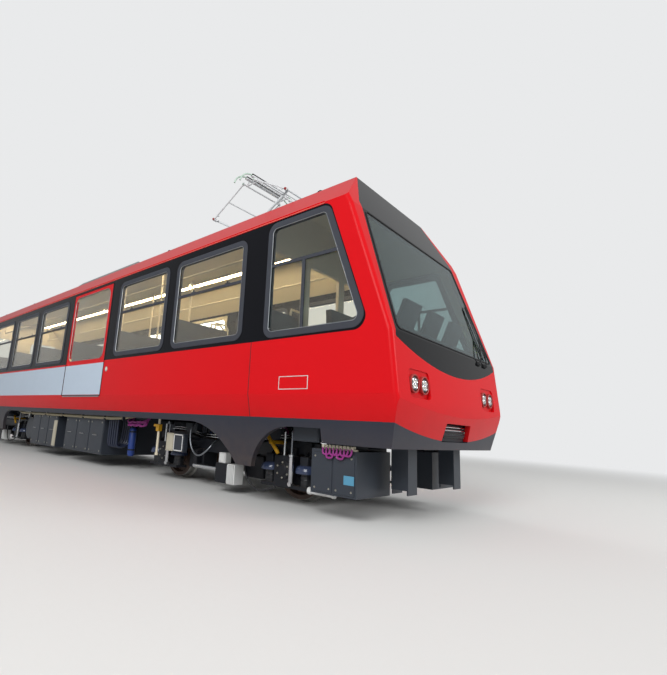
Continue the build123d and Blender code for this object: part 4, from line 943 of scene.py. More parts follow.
class RACKCAR_OT_glazing(bpy.types.Operator):
    """Beads and latches of the side windows, and the windshield's dark margin and seal"""
    bl_idname = "rackcar.glazing"
    bl_label = "Glazing"

    def execute(self, context):
        radius = context.scene.rackcar_sizes.bead_radius
        for side, side_name in SIDES:
            inner, outer, latches = forms(3)
            for number, pane in enumerate(parts_of("window_glass_" + side_name)):
                low, high = box_of(pane)
                flat = [Vector((p.x, side * (HALF_WIDTH + 0.0025), p.z))
                        for p in face_outline(pane, side * (HALF_WIDTH - 0.010))]
                inner.tube(grown(flat, -0.004), radius, 6, closed=True)
                # The door's pane has no outer bead and no latches, and the cab's, the first, no latches
                if abs(low.x + high.x - DOOR_LOW.x - DOOR_HIGH.x) < 0.2:
                    continue
                outer.tube(grown(flat, 0.061), radius, 6, closed=True)
                for share in (0.25, 0.78) if number > 0 else ():
                    latches.blocks(HAND_LATCH, side, low.x + (high.x - low.x) * share)
            place_all("_" + side_name, "car_body", (
                (inner, "window_beads_inner", "aluminium_anodised"),
                (outer, "window_beads_outer", "epdm_rubber_moulded"),
                (latches, "window_latches", "joint_rubber_extruded", 0.003)))
        self.windshield()
        return {"FINISHED"}

    def windshield(self):
        """Dark printed margin behind the glass, and the rubber seal round it."""
        low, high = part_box("windshield")
        foot = Vector((high.x, 0.0, low.z))
        head = Vector((high.x - (high.z - low.z) * GLASS_SLOPE, 0.0, high.z))
        up = (head - foot).normalized()
        outward = Vector((up.z, 0.0, -up.x))
        rise = (head - foot).length
        edges = [(-high.y, 0.0), (high.y, 0.0), (GLASS_HALF_HEAD, rise), (-GLASS_HALF_HEAD, rise)]

        def in_plane(outline, out):
            """Rounded outline in the windshield's plane, moved outwards."""
            return [foot + Vector((0.0, y, 0.0)) + up * s + outward * out for y, s in rounded(outline, 0.05)]

        rows = []
        for inset, out in ((0.0, -0.018), (0.0, -0.016), (0.055, -0.016), (0.055, -0.018)):
            rows.append(in_plane([(y - math.copysign(inset, y), s - math.copysign(inset, s - rise / 2))
                                  for y, s in edges], out))
        margin, seal = forms(2)
        margin.skin(rows, closed_round=True)
        seal.tube(in_plane(edges, 0.001), 0.008, 8, closed=True)
        place_all("", "car_body", ((margin, "windshield_margin", "black_lacquer_polished"),
                                   (seal, "windshield_seal", "joint_rubber_extruded")))


# Headlights: two round lamps in each rounded recess of the nose
LAMP_SPACING = (0.763, 0.955)
LAMP_Z = RAIL_TOP + 1.220


class RACKCAR_OT_lamps(bpy.types.Operator):
    """Rims, reflectors and emitters of the headlights"""
    bl_idname = "rackcar.lamps"
    bl_label = "Headlights"

    def execute(self, context):
        low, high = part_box("headlights")
        rims, bowls, emitters = forms(3)
        for y in [side * spacing for side, _ in SIDES for spacing in LAMP_SPACING]:
            rims.turned((low.x, y, LAMP_Z), FORWARD, [(0.001, 0.083), (0.024, 0.083), (0.028, 0.077),
                                                      (0.026, 0.0695), (0.001, 0.0695)], 32)
            for degrees in (45, 135, 225, 315):
                turn = math.radians(degrees)
                spot = (high.x, y + 0.030 * math.cos(turn), LAMP_Z + 0.030 * math.sin(turn))
                bowls.turned(spot, FORWARD, [(0.0, 0.026), (0.004, 0.026), (0.006, 0.022), (0.002, 0.010),
                                             (0.002, 0.001)], 20)
                emitters.turned(spot, FORWARD, [(0.002, 0.008), (0.005, 0.007), (0.007, 0.001)], 12)
        place_all("", "car_body", ((rims, "lamp_rims", "panto_enamel_red"),
                                   (bowls, "lamp_reflectors", "reflector_plated"),
                                   (emitters, "lamp_emitters", "emitter_silicone")))
        return {"FINISHED"}


# Running gear
AXLE_Z = WHEELSETS["wheelset_front_1"].z
SPRING_Y = 0.785
SPRING_SEAT_Z = RAIL_TOP + 0.185
SPRING_HEAD_Z = RAIL_TOP + 0.390


def spring_places(end):
    """x and side of each axle spring of a bogie."""
    return [(x + out, side) for x in AXLES[end] for side, _ in SIDES for out in (-SPRING_OUT, SPRING_OUT)]


class RACKCAR_OT_springs(bpy.types.Operator):
    """Coil springs beside the axle boxes, their pressed hoods and the arms they bear on"""
    bl_idname = "rackcar.springs"
    bl_label = "Axle springs"

    def execute(self, context):
        wire = context.scene.rackcar_sizes.spring_wire
        height = SPRING_HEAD_Z - SPRING_SEAT_Z - 0.024
        for end in BOGIES:
            coils, hoods, arms = forms(3)
            for x, side in spring_places(end):
                y = side * SPRING_Y
                hoods.turned((x, y, SPRING_HEAD_Z - 0.077), UP,
                             [(0.004, 0.108), (0.0, 0.121), (0.006, 0.124), (0.022, 0.122), (0.052, 0.116),
                              (0.070, 0.102), (0.082, 0.078), (0.0875, 0.040)], 36)
                arms.block((x - 0.055, side * 0.69, SPRING_HEAD_Z + 0.002), (x + 0.055, side * 0.84, 0.512))
                coils.coil((x, y, SPRING_SEAT_Z + 0.012), 0.066, height, 5.5, wire)
            place_all("_" + end, "bogie_" + end, (
                (coils, "axle_springs", "spring_steel_lacquered"),
                # The hoods' pale blue is a painted reflection of the sky
                (hoods, "spring_hoods", "hood_lacquer_polished"),
                (arms, "spring_arms", "frame_steel_painted", 0.006)))
        return {"FINISHED"}


class RACKCAR_OT_axle_boxes(bpy.types.Operator):
    """Round covers and bolts of the axle boxes, and the dampers beside them"""
    bl_idname = "rackcar.axle_boxes"
    bl_label = "Axle boxes"

    def execute(self, context):
        for end in BOGIES:
            covers, bolts, dampers, rods = forms(4)
            for x_axle in AXLES[end]:
                for side, _ in SIDES:
                    outward = (0, side, 0)
                    covers.turned((x_axle, side * 0.882, AXLE_Z), outward,
                                  [(-0.024, 0.098), (0.008, 0.098), (0.012, 0.092), (0.014, 0.060),
                                   (0.024, 0.052), (0.026, 0.001)], 32)
                    bolts.bolt_circle((x_axle, side * 0.894, AXLE_Z), side, 0.080, 6, 0.009, 30.0)
                    foot = Vector((x_axle + 0.135, side * 0.905, RAIL_TOP + 0.20))
                    pin = foot - Vector((0.0, side * 0.05, 0.0))
                    dampers.turned(foot, UP, [(0.0, 0.020), (0.01, 0.027), (0.27, 0.027), (0.275, 0.034),
                                              (0.30, 0.034), (0.305, 0.016)], 20)
                    rods.turned(foot, UP, [(0.30, 0.013), (0.53, 0.013), (0.535, 0.022), (0.56, 0.022),
                                           (0.565, 0.010)], 16)
                    dampers.turned(pin, outward, [(0.0, 0.024), (0.075, 0.024)], 16)
                    rods.turned(pin + Vector((0.0, 0.0, 0.548)), outward, [(0.0, 0.020), (0.075, 0.020)], 16)
            place_all("_" + end, "bogie_" + end, (
                (covers, "axle_box_covers", "cast_steel_primed"),
                (bolts, "axle_box_bolts", "bolt_steel_zinc_plated"),
                (dampers, "axle_dampers", "steel_drawn"),
                (rods, "axle_damper_rods", "steel_machined_oiled")))
        return {"FINISHED"}


# Blocks beside a bogie's side member, each by two corners: x, distance from the middle plane and height.
# The tread brakes are measured from each axle towards the middle, the others from the middle.
TREAD_BRAKES = (((0.43, 0.50, 0.20), (0.74, 0.74, 0.46)), ((0.368, 0.475, 0.27), (0.44, 0.58, 0.43)),
                ((0.54, 0.62, 0.44), (0.62, 0.68, 0.60)))
VALVE_BOXES = (((0.66, 0.60, 0.650), (0.92, 0.70, 0.79)), ((1.20, 0.60, 0.650), (1.36, 0.69, 0.755)))
END_BRACKET = (((1.31, 0.70, 0.47), (1.41, 0.735, 0.66)),)
MAGNETS = (((0.100, 0.80, 0.11), (0.315, 0.95, 0.34)), ((0.160, 0.62, 0.26), (0.240, 0.82, 0.44)),
           ((-0.500, 0.62, 0.22), (-0.440, 0.83, 0.44)))
MAGNET_ENDS = (((0.315, 0.80, 0.11), (0.445, 0.945, 0.34)),
               *[((0.325 + 0.024 * k, 0.940, 0.12), (0.335 + 0.024 * k, 0.962, 0.33)) for k in range(5)])
# Runs of a side: the brake hose from the front axle, the others from the bogie's middle
BRAKE_HOSE = ((-0.55, 0.70, 0.47), (-0.55, 0.93, 0.41), (-0.53, 0.93, 0.24), (-0.40, 0.93, 0.13),
              (-0.26, 0.93, 0.10), (-0.12, 0.86, 0.165))
BRAIDED_HOSE = ((-0.44, 0.80, 0.84), (-0.45, 0.95, 0.80), (-0.44, 0.97, 0.52), (-0.26, 0.97, 0.36),
                (-0.06, 0.97, 0.46), (-0.04, 0.86, 0.60), (-0.04, 0.72, 0.62))
PIPE_BENDS = ((-0.95, 0.690, 0.668), (-0.56, 0.690, 0.596), (-0.2, 0.86, 0.596), (0.2, 0.86, 0.596),
              (0.56, 0.690, 0.596), (0.95, 0.690, 0.668))
BELLOWS_FOOT_Z, BELLOWS_HEIGHT = RAIL_TOP + 0.567, 0.237


class RACKCAR_OT_bogie_fittings(bpy.types.Operator):
    """Track brakes, brake units and levers, bellows, valve boxes, hoses and pipes of the bogies"""
    bl_idname = "rackcar.bogie_fittings"
    bl_label = "Bogie fittings"

    def execute(self, context):
        for end in BOGIES:
            body = "bogie_" + end
            middle = PIVOTS[body].x
            levers, magnets, ends, shafts, bellows, brackets, gussets, units, valves = forms(9)
            rubber, braided, brake_pipes = [], [], []
            for side, _ in SIDES:
                x_front = AXLES[end][0]
                # Hand-release lever on its pin, slanting down to the front
                top = Vector((x_front - 0.20, side * 0.93, 0.70))
                tip = Vector((x_front - 0.04, side * 0.93, 0.53))
                pin = top.lerp(tip, 0.35)
                levers.tube([top, pin, tip], 0.021, 10)
                levers.turned((pin.x, side * 0.69, pin.z), (0, side, 0), [(0.0, 0.022), (0.265, 0.022)], 16)
                magnets.blocks(MAGNETS, side, middle)
                ends.blocks(MAGNET_ENDS, side, middle)
                shafts.tube(mirrored(side, [(-0.50, 0.81, 0.245), (0.12, 0.81, 0.245)], middle), 0.030, 20)
                bellows.turned((middle, side * 0.640, BELLOWS_FOOT_Z), UP,
                               [(0.0, 0.150), (0.01, 0.168), (0.045, 0.184), (0.08, 0.170), (0.092, 0.166),
                                (0.105, 0.170), (0.14, 0.186), (0.175, 0.170), (0.19, 0.166),
                                (BELLOWS_HEIGHT, 0.160)], 40)
                for facing, x_axle in zip((1, -1), AXLES[end]):
                    brackets.blocks(END_BRACKET, side, middle, facing)
                    valves.blocks(VALVE_BOXES, side, middle, facing)
                    units.blocks(TREAD_BRAKES, side, x_axle, -facing)
                rubber.append(mirrored(side, BRAKE_HOSE, x_front))
                braided.append(mirrored(side, BRAIDED_HOSE, middle))
                for rise, x_low, x_high in ((0.036, -1.40, 1.40), (0.064, -1.30, 1.20)):
                    brake_pipes.append(mirrored(side, [(x_low, 0.668, 0.655 - rise), (x_low, 0.680, 0.655),
                                                       *PIPE_BENDS, (x_high, 0.680, 0.655)], middle, rise))
            for x, side in spring_places(end):
                for rib in (x - 0.032, x + 0.020):
                    gussets.prism([(rib, side * 0.699, 0.595), (rib, side * 0.699, 0.498),
                                   (rib, side * 0.800, 0.498)], (0.012, 0.0, 0.0))
            place_all("_" + end, body, (
                (levers, "release_levers", "lever_enamel_yellow", 0.002),
                (magnets, "track_brake_magnets", "cast_steel_primed", 0.006),
                (ends, "track_brake_ends", "enamel_white", 0.003),
                (shafts, "track_brake_shafts", "steel_drawn"),
                (bellows, "air_bellows", "epdm_rubber_moulded"),
                (brackets, "end_brackets", "cast_steel_primed", 0.006),
                (gussets, "spring_arm_gussets", "frame_steel_painted"),
                (units, "tread_brake_units", "cast_steel_primed", 0.012),
                (valves, "valve_boxes", "sheet_steel_enamelled", 0.006)))
            hose = context.scene.rackcar_sizes.hose_radius
            pipes("brake_hoses_" + end, rubber, hose, "hose_rubber_moulded", body)
            pipes("braided_hoses_" + end, braided, hose, "hose_steel_braided", body)
            pipes("brake_pipes_" + end, brake_pipes, 0.008, "steel_drawn", body)
        return {"FINISHED"}


class RACKCAR_OT_wheel_trim(bpy.types.Operator):
    """Hub bolts of the wheels and vanes of the vented brake discs"""
    bl_idname = "rackcar.wheel_trim"
    bl_label = "Wheel trim"

    def execute(self, context):
        for body, middle in WHEELSETS.items():
            bolts, disc = forms(2)
            for side, _ in SIDES:
                bolts.bolt_circle(middle + Vector((0.0, side * 0.585, 0.0)), side, 0.095, 8, 0.011)
            for k in range(24):
                turn = math.radians(15 * k)
                spoke = Vector((math.cos(turn), 0.0, math.sin(turn)))
                disc.tube([middle + Vector((0.0, -0.230, 0.0)) + spoke * r for r in (0.09, 0.20)], 0.034, 4)
            place_all(body.removeprefix("wheelset"), body, (
                (bolts, "hub_bolts", "bolt_steel_zinc_plated"),
                (disc, "brake_disc_vanes", "steel_machined_oiled")))
        return {"FINISHED"}


# Axis of the motors, by its distance from the bogie's middle and its height
MOTOR_OUT = 0.60
MOTOR_Z = RAIL_TOP + 0.40


class RACKCAR_OT_motors(bpy.types.Operator):
    """Cooling rings, end caps, terminal boxes and leads of the drive motors"""
    bl_idname = "rackcar.motors"
    bl_label = "Drive motors"

    def execute(self, context):
        z = MOTOR_Z
        for end in BOGIES:
            body = "bogie_" + end
            rings, caps, boxes = forms(3)
            leads = []
            for out in (-1, 1):
                x = PIVOTS[body].x + out * MOTOR_OUT
                for k in range(9):
                    rings.turned((x, -0.05 + 0.038 * k, z), (0, 1, 0),
                                 [(0.0, 0.184), (0.003, 0.196), (0.011, 0.196), (0.014, 0.184)], 32)
                for side, _ in SIDES:
                    caps.turned((x, side * 0.425, z), (0, side, 0),
                                [(0.0, 0.178), (0.018, 0.170), (0.026, 0.120), (0.040, 0.110), (0.044, 0.060),
                                 (0.044, 0.001)], 32)
                    caps.bolt_circle((x, side * 0.446, z), side, 0.148, 8, 0.011, 22.5)
                boxes.block((x - 0.11, -0.40, z + 0.15), (x + 0.11, -0.14, z + 0.27))
                for y in (-0.34, -0.27, -0.20):
                    leads.append([(x, y, z + 0.26), (x, y, z + 0.36), (x - out * 0.12, y - 0.05, z + 0.42),
                                  (x - out * 0.30, y - 0.06, z + 0.40)])
            place_all("_" + end, body, (
                (rings, "motor_rings", "cast_iron_rusted"),
                (caps, "motor_caps", "cast_iron_rusted"),
                (boxes, "motor_boxes", "sheet_steel_enamelled", 0.008)))
            pipes("motor_leads_" + end, leads, 0.012, "cable_sheath_violet", body)
        return {"FINISHED"}


# Equipment cases: rear, front, foot and head. Each side of one has three lids with a handle each.
EQUIPMENT_CASES = ((0.14, 1.63, 0.192, 0.787), (-1.56, -0.26, 0.177, 0.817))
CASE_HANDLE = ((-0.07, 1.096, 0.50), (-0.07, 1.116, 0.50), (0.07, 1.116, 0.50), (0.07, 1.096, 0.50))
# Small cases of each side: finish, body, low and high corner, and whether it hangs from the floor
SMALL_CASES = (
    ("sheet_steel_enamelled", "car_body", (5.64, 0.86, 0.68), (5.978, 1.05, 0.88), True),
    ("sheet_steel_enamelled", "car_body", (2.34, 0.78, 0.79), (2.78, 0.96, 0.92), True),
    ("box_enamel_cream", "car_body", (-0.41, 1.086, 0.20), (-0.27, 1.100, 0.68), False),
    ("box_enamel_cream", "bogie_front", (3.29, 0.925, 0.40), (3.46, 0.990, 0.64), False),
    ("sheet_steel_enamelled", "bogie_front", (3.46, 0.925, 0.40), (3.70, 0.990, 0.64), False),
    ("enamel_white", "bogie_front", (4.36, 0.830, 0.335), (4.48, 0.925, 0.46), False),
)
# Frame round the door of the small case beside the front bogie
DOOR_FRAME = [((x0, 0.994, z0), (x1, 1.001, z1)) for x0, z0, x1, z1 in (
    (3.478, 0.41, 3.682, 0.424), (3.478, 0.616, 3.682, 0.63),
    (3.478, 0.41, 3.492, 0.63), (3.668, 0.41, 3.682, 0.63))]
# Air reservoir and pale post of each side: x and distance from the middle plane
TANK_X, TANK_OUT = 2.05, 0.80
POST_X, POST_OUT = 3.17, 1.05
POST_BRACKET = (((3.07, 1.02, 0.71), (3.205, 1.08, 0.745)), ((3.135, 1.02, 0.65), (3.205, 1.08, 0.71)))
# Row of lead sockets on the case ahead of the bogie
SOCKET_X, SOCKET_PITCH = 6.055, 0.040
CLIP_PLACES = (-6.1, -5.2, -4.2, -3.3, -2.4, -1.6, -0.8, 0.05, 0.9, 1.7, 2.3)


class RACKCAR_OT_underfloor(bpy.types.Operator):
    """Case lids, small cases, reservoirs, hose loops, posts, cable runs and guard trim under the floor"""
    bl_idname = "rackcar.underfloor"
    bl_label = "Underfloor fittings"

    def execute(self, context):
        self.case_lids()
        for side, side_name in SIDES:
            self.small_cases(side, side_name)
            self.reservoir(side, side_name)
            self.loops_and_post(side, side_name)
            self.cable_runs(side, side_name)
        self.rail_guard_trim()
        return {"FINISHED"}

    def case_lids(self):
        """Raised lids with handles and quarter-turn latches on both faces of each equipment case."""
        lids, latches, handles = forms(3)
        for x_rear, x_front, z_foot, z_head in EQUIPMENT_CASES:
            step = (x_front - x_rear) / 3
            for side, _ in SIDES:
                for k in range(3):
                    low_x, high_x = x_rear + step * k + 0.016, x_rear + step * (k + 1) - 0.016
                    lids.block((low_x, side * 1.086, z_foot + 0.03), (high_x, side * 1.098, z_head - 0.05))
                    for x in (low_x + 0.05, high_x - 0.05):
                        for z in (z_foot + 0.06, z_head - 0.08):
                            latches.turned((x, side * 1.097, z), (0, side, 0),
                                           [(0.0, 0.014), (0.004, 0.014), (0.007, 0.009), (0.007, 0.001)], 16)
                    handles.tube(mirrored(side, CASE_HANDLE, (low_x + high_x) / 2), 0.006, 8)
        place_all("", "car_body", ((lids, "case_lids", "sheet_steel_enamelled", 0.004),
                                   (latches, "case_latches", "bolt_steel_zinc_plated"),
                                   (handles, "case_handles", "steel_drawn")))

    def small_cases(self, side, side_name):
        """Small cases with lids, on their hangers or arms."""
        cases = {}
        hangers, arms = forms(2)
        for finish_name, body, (x0, y0, z0), (x1, y1, z1), hung in SMALL_CASES:
            case = cases.setdefault((finish_name, body), Form())
            case.blocks([((x0, y0, z0), (x1, y1, z1)),
                         ((x0 + 0.012, y1, z0 + 0.012), (x1 - 0.012, y1 + 0.006, z1 - 0.012))], side)
            if hung:
                hangers.blocks([((x - 0.015, y0 + 0.01, z1 - 0.02), (x + 0.015, y0 + 0.03, FLOOR_UNDERSIDE))
                                for x in (x0 + 0.03, x1 - 0.03)], side)
        for (finish_name, body), case in cases.items():
            case.place("small_cases_" + finish_name + "_" + body + "_" + side_name, finish_name, body, 0.004)
        hangers.place("small_case_hangers_" + side_name, "frame_steel_painted", edge=0.003)
        for x in (3.50, 3.66):
            for z in (0.47, 0.58):
                arms.tube([(x, side * 0.695, z), (x, side * 0.928, z)], 0.015, 10)
        arms.place("door_case_arms_" + side_name, "frame_steel_painted", "bogie_front")

    def reservoir(self, side, side_name):
        """Blue air reservoir with its straps and the plate that carries it."""
        tank, straps = forms(2)
        tank.turned((TANK_X, side * TANK_OUT, 0.21), UP,
                    [(0.0, 0.018), (0.006, 0.040), (0.03, 0.056), (0.42, 0.056), (0.444, 0.040),
                     (0.45, 0.018)], 28)
        for z in (0.30, 0.58):
            straps.turned((TANK_X, side * TANK_OUT, z), UP, [(0.0, 0.059), (0.024, 0.059)], 28)
        straps.block((TANK_X - 0.03, side * (TANK_OUT - 0.08), 0.27),
                     (TANK_X + 0.03, side * (TANK_OUT - 0.05), FLOOR_UNDERSIDE))
        place_all("_" + side_name, "car_body", ((tank, "air_reservoir", "reservoir_enamel_blue"),
                                                (straps, "reservoir_straps", "frame_steel_painted", 0.002)))

    def loops_and_post(self, side, side_name):
        """Hoses that hang from the floor in loops, the pale post with its bracket, and the door's frame."""
        loop = ((0.0, 1.03, FLOOR_UNDERSIDE), (0.0, 1.03, 0.50), (0.01, 1.03, 0.35), (0.03, 0.93, 0.34),
                (0.05, 0.83, 0.40), (0.05, 0.81, 0.55), (0.05, 0.81, FLOOR_UNDERSIDE))
        loops = [mirrored(side, loop, x) for x in (1.70, 1.76, 1.83, 1.90, 1.97)]
        pipes("hanging_loops_0_" + side_name, loops, 0.018, "hose_vinyl_extruded")
        post, bracket, frame_bars = forms(3)
        post.tube([(POST_X, side * POST_OUT, z) for z in (0.33, FLOOR_UNDERSIDE)], 0.017, 12)
        post.turned((POST_X, side * POST_OUT, 0.325), UP, [(0.0, 0.024), (0.03, 0.024)], 16)
        bracket.blocks(POST_BRACKET, side)
        frame_bars.blocks(DOOR_FRAME, side)
        place_all("_" + side_name, "car_body", ((post, "pale_post", "rail_powder_coated"),
                                                (bracket, "post_bracket", "lever_enamel_yellow", 0.004)))
        frame_bars.place("door_frame_bars_" + side_name, "enamel_white", "bogie_front", 0.002)

    def cable_runs(self, side, side_name):
        """Cable looms, the leads of the case ahead of the bogie, and conduits with clips along the sill."""
        violet, beige, black = [], [], []
        for k in range(6):
            loom = [(2.30 + 0.055 * s + 0.012 * k, 1.06 - 0.018 * (k % 3) + 0.02 * math.sin(s + k),
                     0.775 - 0.045 * (k % 2) - 0.040 * abs(math.sin(0.9 * s + 1.3 * k))) for s in range(9)]
            violet.append(mirrored(side, [(2.26 + 0.012 * k, 0.95, 0.84), *loom,
                                          (2.80 - 0.01 * k, 0.95, 0.84)]))
        sockets, clips = forms(2)
        for x in [SOCKET_X + SOCKET_PITCH * k for k in range(9)]:
            sockets.block((x, side * 1.055, 0.640), (x + 0.030, side * 1.106, 0.672))
        sockets.block((6.045, side * 1.04, 0.620), (6.42, side * 1.08, 0.645))
        # Each lead hangs from its socket to the next but one
        for k in range(7):
            sag = 0.055 + 0.030 * (k % 3 == 1)
            lead = [(0.015, 1.100, 0.0), (0.012, 1.113, -sag), (0.055, 1.108 + 0.006 * (k % 2), -0.010 - sag),
                    (0.098, 1.113, -sag), (0.095, 1.100, 0.0)]
            violet.append(mirrored(side, lead, SOCKET_X + SOCKET_PITCH * k, 0.645))
        for y, z in ((1.113, 0.802), (1.115, 0.774), (1.142, 0.790)):
            front_run = [(x, y, z) for x in (-2.62, -1.6, -0.2, 1.2, 2.25)]
            rear_run = [(x, y * 0.985, z + rise) for x, rise in ((-6.30, 0.008), (-4.8, 0.04), (-3.1, 0.03))]
            beige.append(mirrored(side, [(-2.75, 0.96, FLOOR_UNDERSIDE), *front_run, (2.42, 0.94, 0.84)]))
            black.append(mirrored(side, [(-6.48, 0.96, FLOOR_UNDERSIDE), *rear_run,
                                         (-2.9, 0.96, FLOOR_UNDERSIDE)]))
        clips.blocks([((x - 0.012, 1.108, 0.760), (x + 0.012, 1.150, 0.905)) for x in CLIP_PLACES], side)
        place_all("_" + side_name, "car_body", ((sockets, "lead_sockets", "box_enamel_cream", 0.003),
                                                (clips, "conduit_clips", "frame_steel_painted", 0.002)))
        pipes("violet_leads_" + side_name, violet, 0.010, "cable_sheath_violet")
        pipes("floor_conduits_" + side_name, beige, 0.013, "conduit_beige_corrugated")
        pipes("rear_conduits_" + side_name, black, 0.013, "hose_rubber_moulded")

    def rail_guard_trim(self):
        """Lids, bolts and bare label of the cases ahead of the front bogie, and the white cross tube."""
        lids, bolts, tube, label = forms(4)
        low_x, high_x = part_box("rail_guards")[0].x, behind_nose(0.45)
        middle_x = (low_x + high_x) / 2
        for side, _ in SIDES:
            for x0, x1 in ((low_x + 0.02, middle_x - 0.01), (middle_x + 0.01, high_x - 0.02)):
                lids.block((x0, side * 1.076, RAIL_TOP + 0.21), (x1, side * 1.088, RAIL_TOP + 0.57))
            for x in (low_x + 0.05, high_x - 0.05, middle_x - 0.04, middle_x + 0.04):
                for z in (0.27, 0.56):
                    bolts.bolt((x, side * 1.087, z), (0, side, 0), 0.008)
            for x in (6.53, 6.69):
                for z in (0.36, 0.52, 0.68):
                    bolts.bolt((x - 0.006, side * 0.53, z), (-1, 0, 0), 0.012)
            tube.tube([(5.78, side * 0.92, 0.20), (6.09, side * 0.92, 0.20)], 0.030, 16)
            for x in (5.775, 6.065):
                tube.turned((x, side * 0.92, 0.20), FORWARD, [(0.0, 0.036), (0.03, 0.036)], 20)
            label.block((6.30, side * 1.087, 0.33), (6.41, side * 1.0895, 0.41))
        place_all("", "car_body", ((lids, "guard_case_lids", "sheet_steel_enamelled", 0.004),
                                   (bolts, "guard_bolts", "bolt_steel_zinc_plated"),
                                   (tube, "white_cross_tubes", "enamel_white", 0.002),
                                   (label, "bare_label_plates", "label_film_blue")))


class RACKCAR_OT_saloon(bpy.types.Operator):
    """Ceiling lamps, grab rails and seat handles"""
    bl_idname = "rackcar.saloon"
    bl_label = "Saloon"

    def execute(self, context):
        lamps, rims, rails = forms(3)
        for side, _ in SIDES:
            y = side * 0.52
            for x_rear, x_front in ((-6.45, -2.30), (-2.20, 1.40), (1.50, 5.02)):
                lamps.prism([(x_rear, y - 0.055, CEILING), (x_rear, y - 0.050, CEILING - 0.030),
                             (x_rear, y + 0.050, CEILING - 0.030), (x_rear, y + 0.055, CEILING)],
                            (x_front - x_rear, 0.0, 0.0))
                for edge in (y - 0.066, y + 0.066):
                    rims.block((x_rear - 0.01, edge - 0.010, CEILING - 0.034),
                               (x_front + 0.01, edge + 0.010, CEILING))
            rails.tube(mirrored(side, [(-6.30, 0.62, CEILING), (-6.30, 0.62, FLOOR_TOP + 1.95),
                                       (4.90, 0.62, FLOOR_TOP + 1.95), (4.90, 0.62, CEILING)]), 0.016, 12)
        for bench in parts_of("saloon_fittings"):
            low, high = box_of(bench)
            if high.z - low.z > 1.5:
                continue
            backs = [p.x for p in bench if p.z > high.z - 0.01]
            x = (min(backs) + max(backs)) / 2
            handle = [(x, 0.33, -0.30), (x, 0.265, -0.26), (x, 0.265, 0.04), (x, 0.32, 0.09), (x, 0.50, 0.09),
                      (x, 0.52, -0.01)]
            rails.tube(mirrored(1 if low.y > 0 else -1, handle, 0.0, high.z), 0.014, 10)
        place_all("", "car_body", ((lamps, "ceiling_lamps", "light_diffuser_extruded"),
                                   (rims, "ceiling_lamp_rims", "rail_powder_coated", 0.003),
                                   (rails, "grab_rails", "rail_powder_coated")))
        return {"FINISHED"}


class RACKCAR_OT_cab(bpy.types.Operator):
    """Screens and handles of the driver's place"""
    bl_idname = "rackcar.cab"
    bl_label = "Cab"

    def execute(self, context):
        screens, frames, handles = forms(3)
        desk_z = FLOOR_TOP + 0.74
        tilt = Vector((0.10, 0.0, 0.24))
        for y in (-0.55, 0.0, 0.55):
            foot = Vector((behind_nose(0.30), y, desk_z))
            for form, x, half, low, high, depth in ((frames, 0.0, 0.17, 0.0, 1.0, (0.045, 0.0, -0.010)),
                                                    (screens, -0.003, 0.15, 0.08, 0.92, (0.006, 0.0, 0.0))):
                corners = ((-half, low), (half, low), (half, high), (-half, high))
                form.prism([foot + Vector((x, across, 0.0)) + tilt * share for across, share in corners],
                           depth)
        for y in (-0.30, 0.30):
            handles.turned((behind_nose(0.50), y, desk_z), UP,
                           [(0.0, 0.045), (0.012, 0.040), (0.014, 0.010), (0.09, 0.010), (0.095, 0.024),
                            (0.125, 0.026), (0.135, 0.014)], 20)
        place_all("", "car_body", ((frames, "desk_screens_frames", "desk_abs_moulded", 0.004),
                                   (screens, "desk_screens", "screen_glass_black"),
                                   (handles, "desk_handles", "steel_machined_oiled")))
        return {"FINISHED"}


class RACKCAR_OT_wiper(bpy.types.Operator):
    """Parallel-arm wiper parked upright at the left edge of the windshield"""
    bl_idname = "rackcar.wiper"
    bl_label = "Wiper"

    def execute(self, context):
        def on_glass(y, z, out):
            """Point in front of the windshield's plane."""
            return Vector((NOSE_X - max(0.0, z - GLASS_FOOT_Z) * GLASS_SLOPE + out, y, z))

        arms, blade, rubber = forms(3)
        foot_z = RAIL_TOP + 1.62
        for y, tip_y, tip_z in ((0.72, 0.985, 2.02), (0.92, 1.010, 2.10)):
            arms.turned(on_glass(y, foot_z, -0.02), (1, 0, 0.3), [(0.0, 0.030), (0.03, 0.030), (0.036, 0.024),
                                                                 (0.05, 0.020), (0.052, 0.001)], 20)
            arms.tube([on_glass(y, foot_z, 0.030), on_glass(y * 0.7 + tip_y * 0.3, 1.78, 0.042),
                       on_glass(tip_y, tip_z, 0.034)], 0.007, 8)
        for form, line, radius, sides in (
                (blade, ((1.000, 1.76, 0.024), (1.000, 2.08, 0.034), (0.985, 2.42, 0.022)), 0.007, 8),
                (rubber, ((1.000, 1.74, 0.012), (1.000, 2.08, 0.012), (0.985, 2.44, 0.012)), 0.005, 6)):
            form.tube([on_glass(*spot) for spot in line], radius, sides)
        place_all("", "car_body", ((arms, "wiper_arms", "joint_rubber_extruded"),
                                   (blade, "wiper_blade", "joint_rubber_extruded"),
                                   (rubber, "wiper_rubber", "hose_rubber_moulded")))
        return {"FINISHED"}


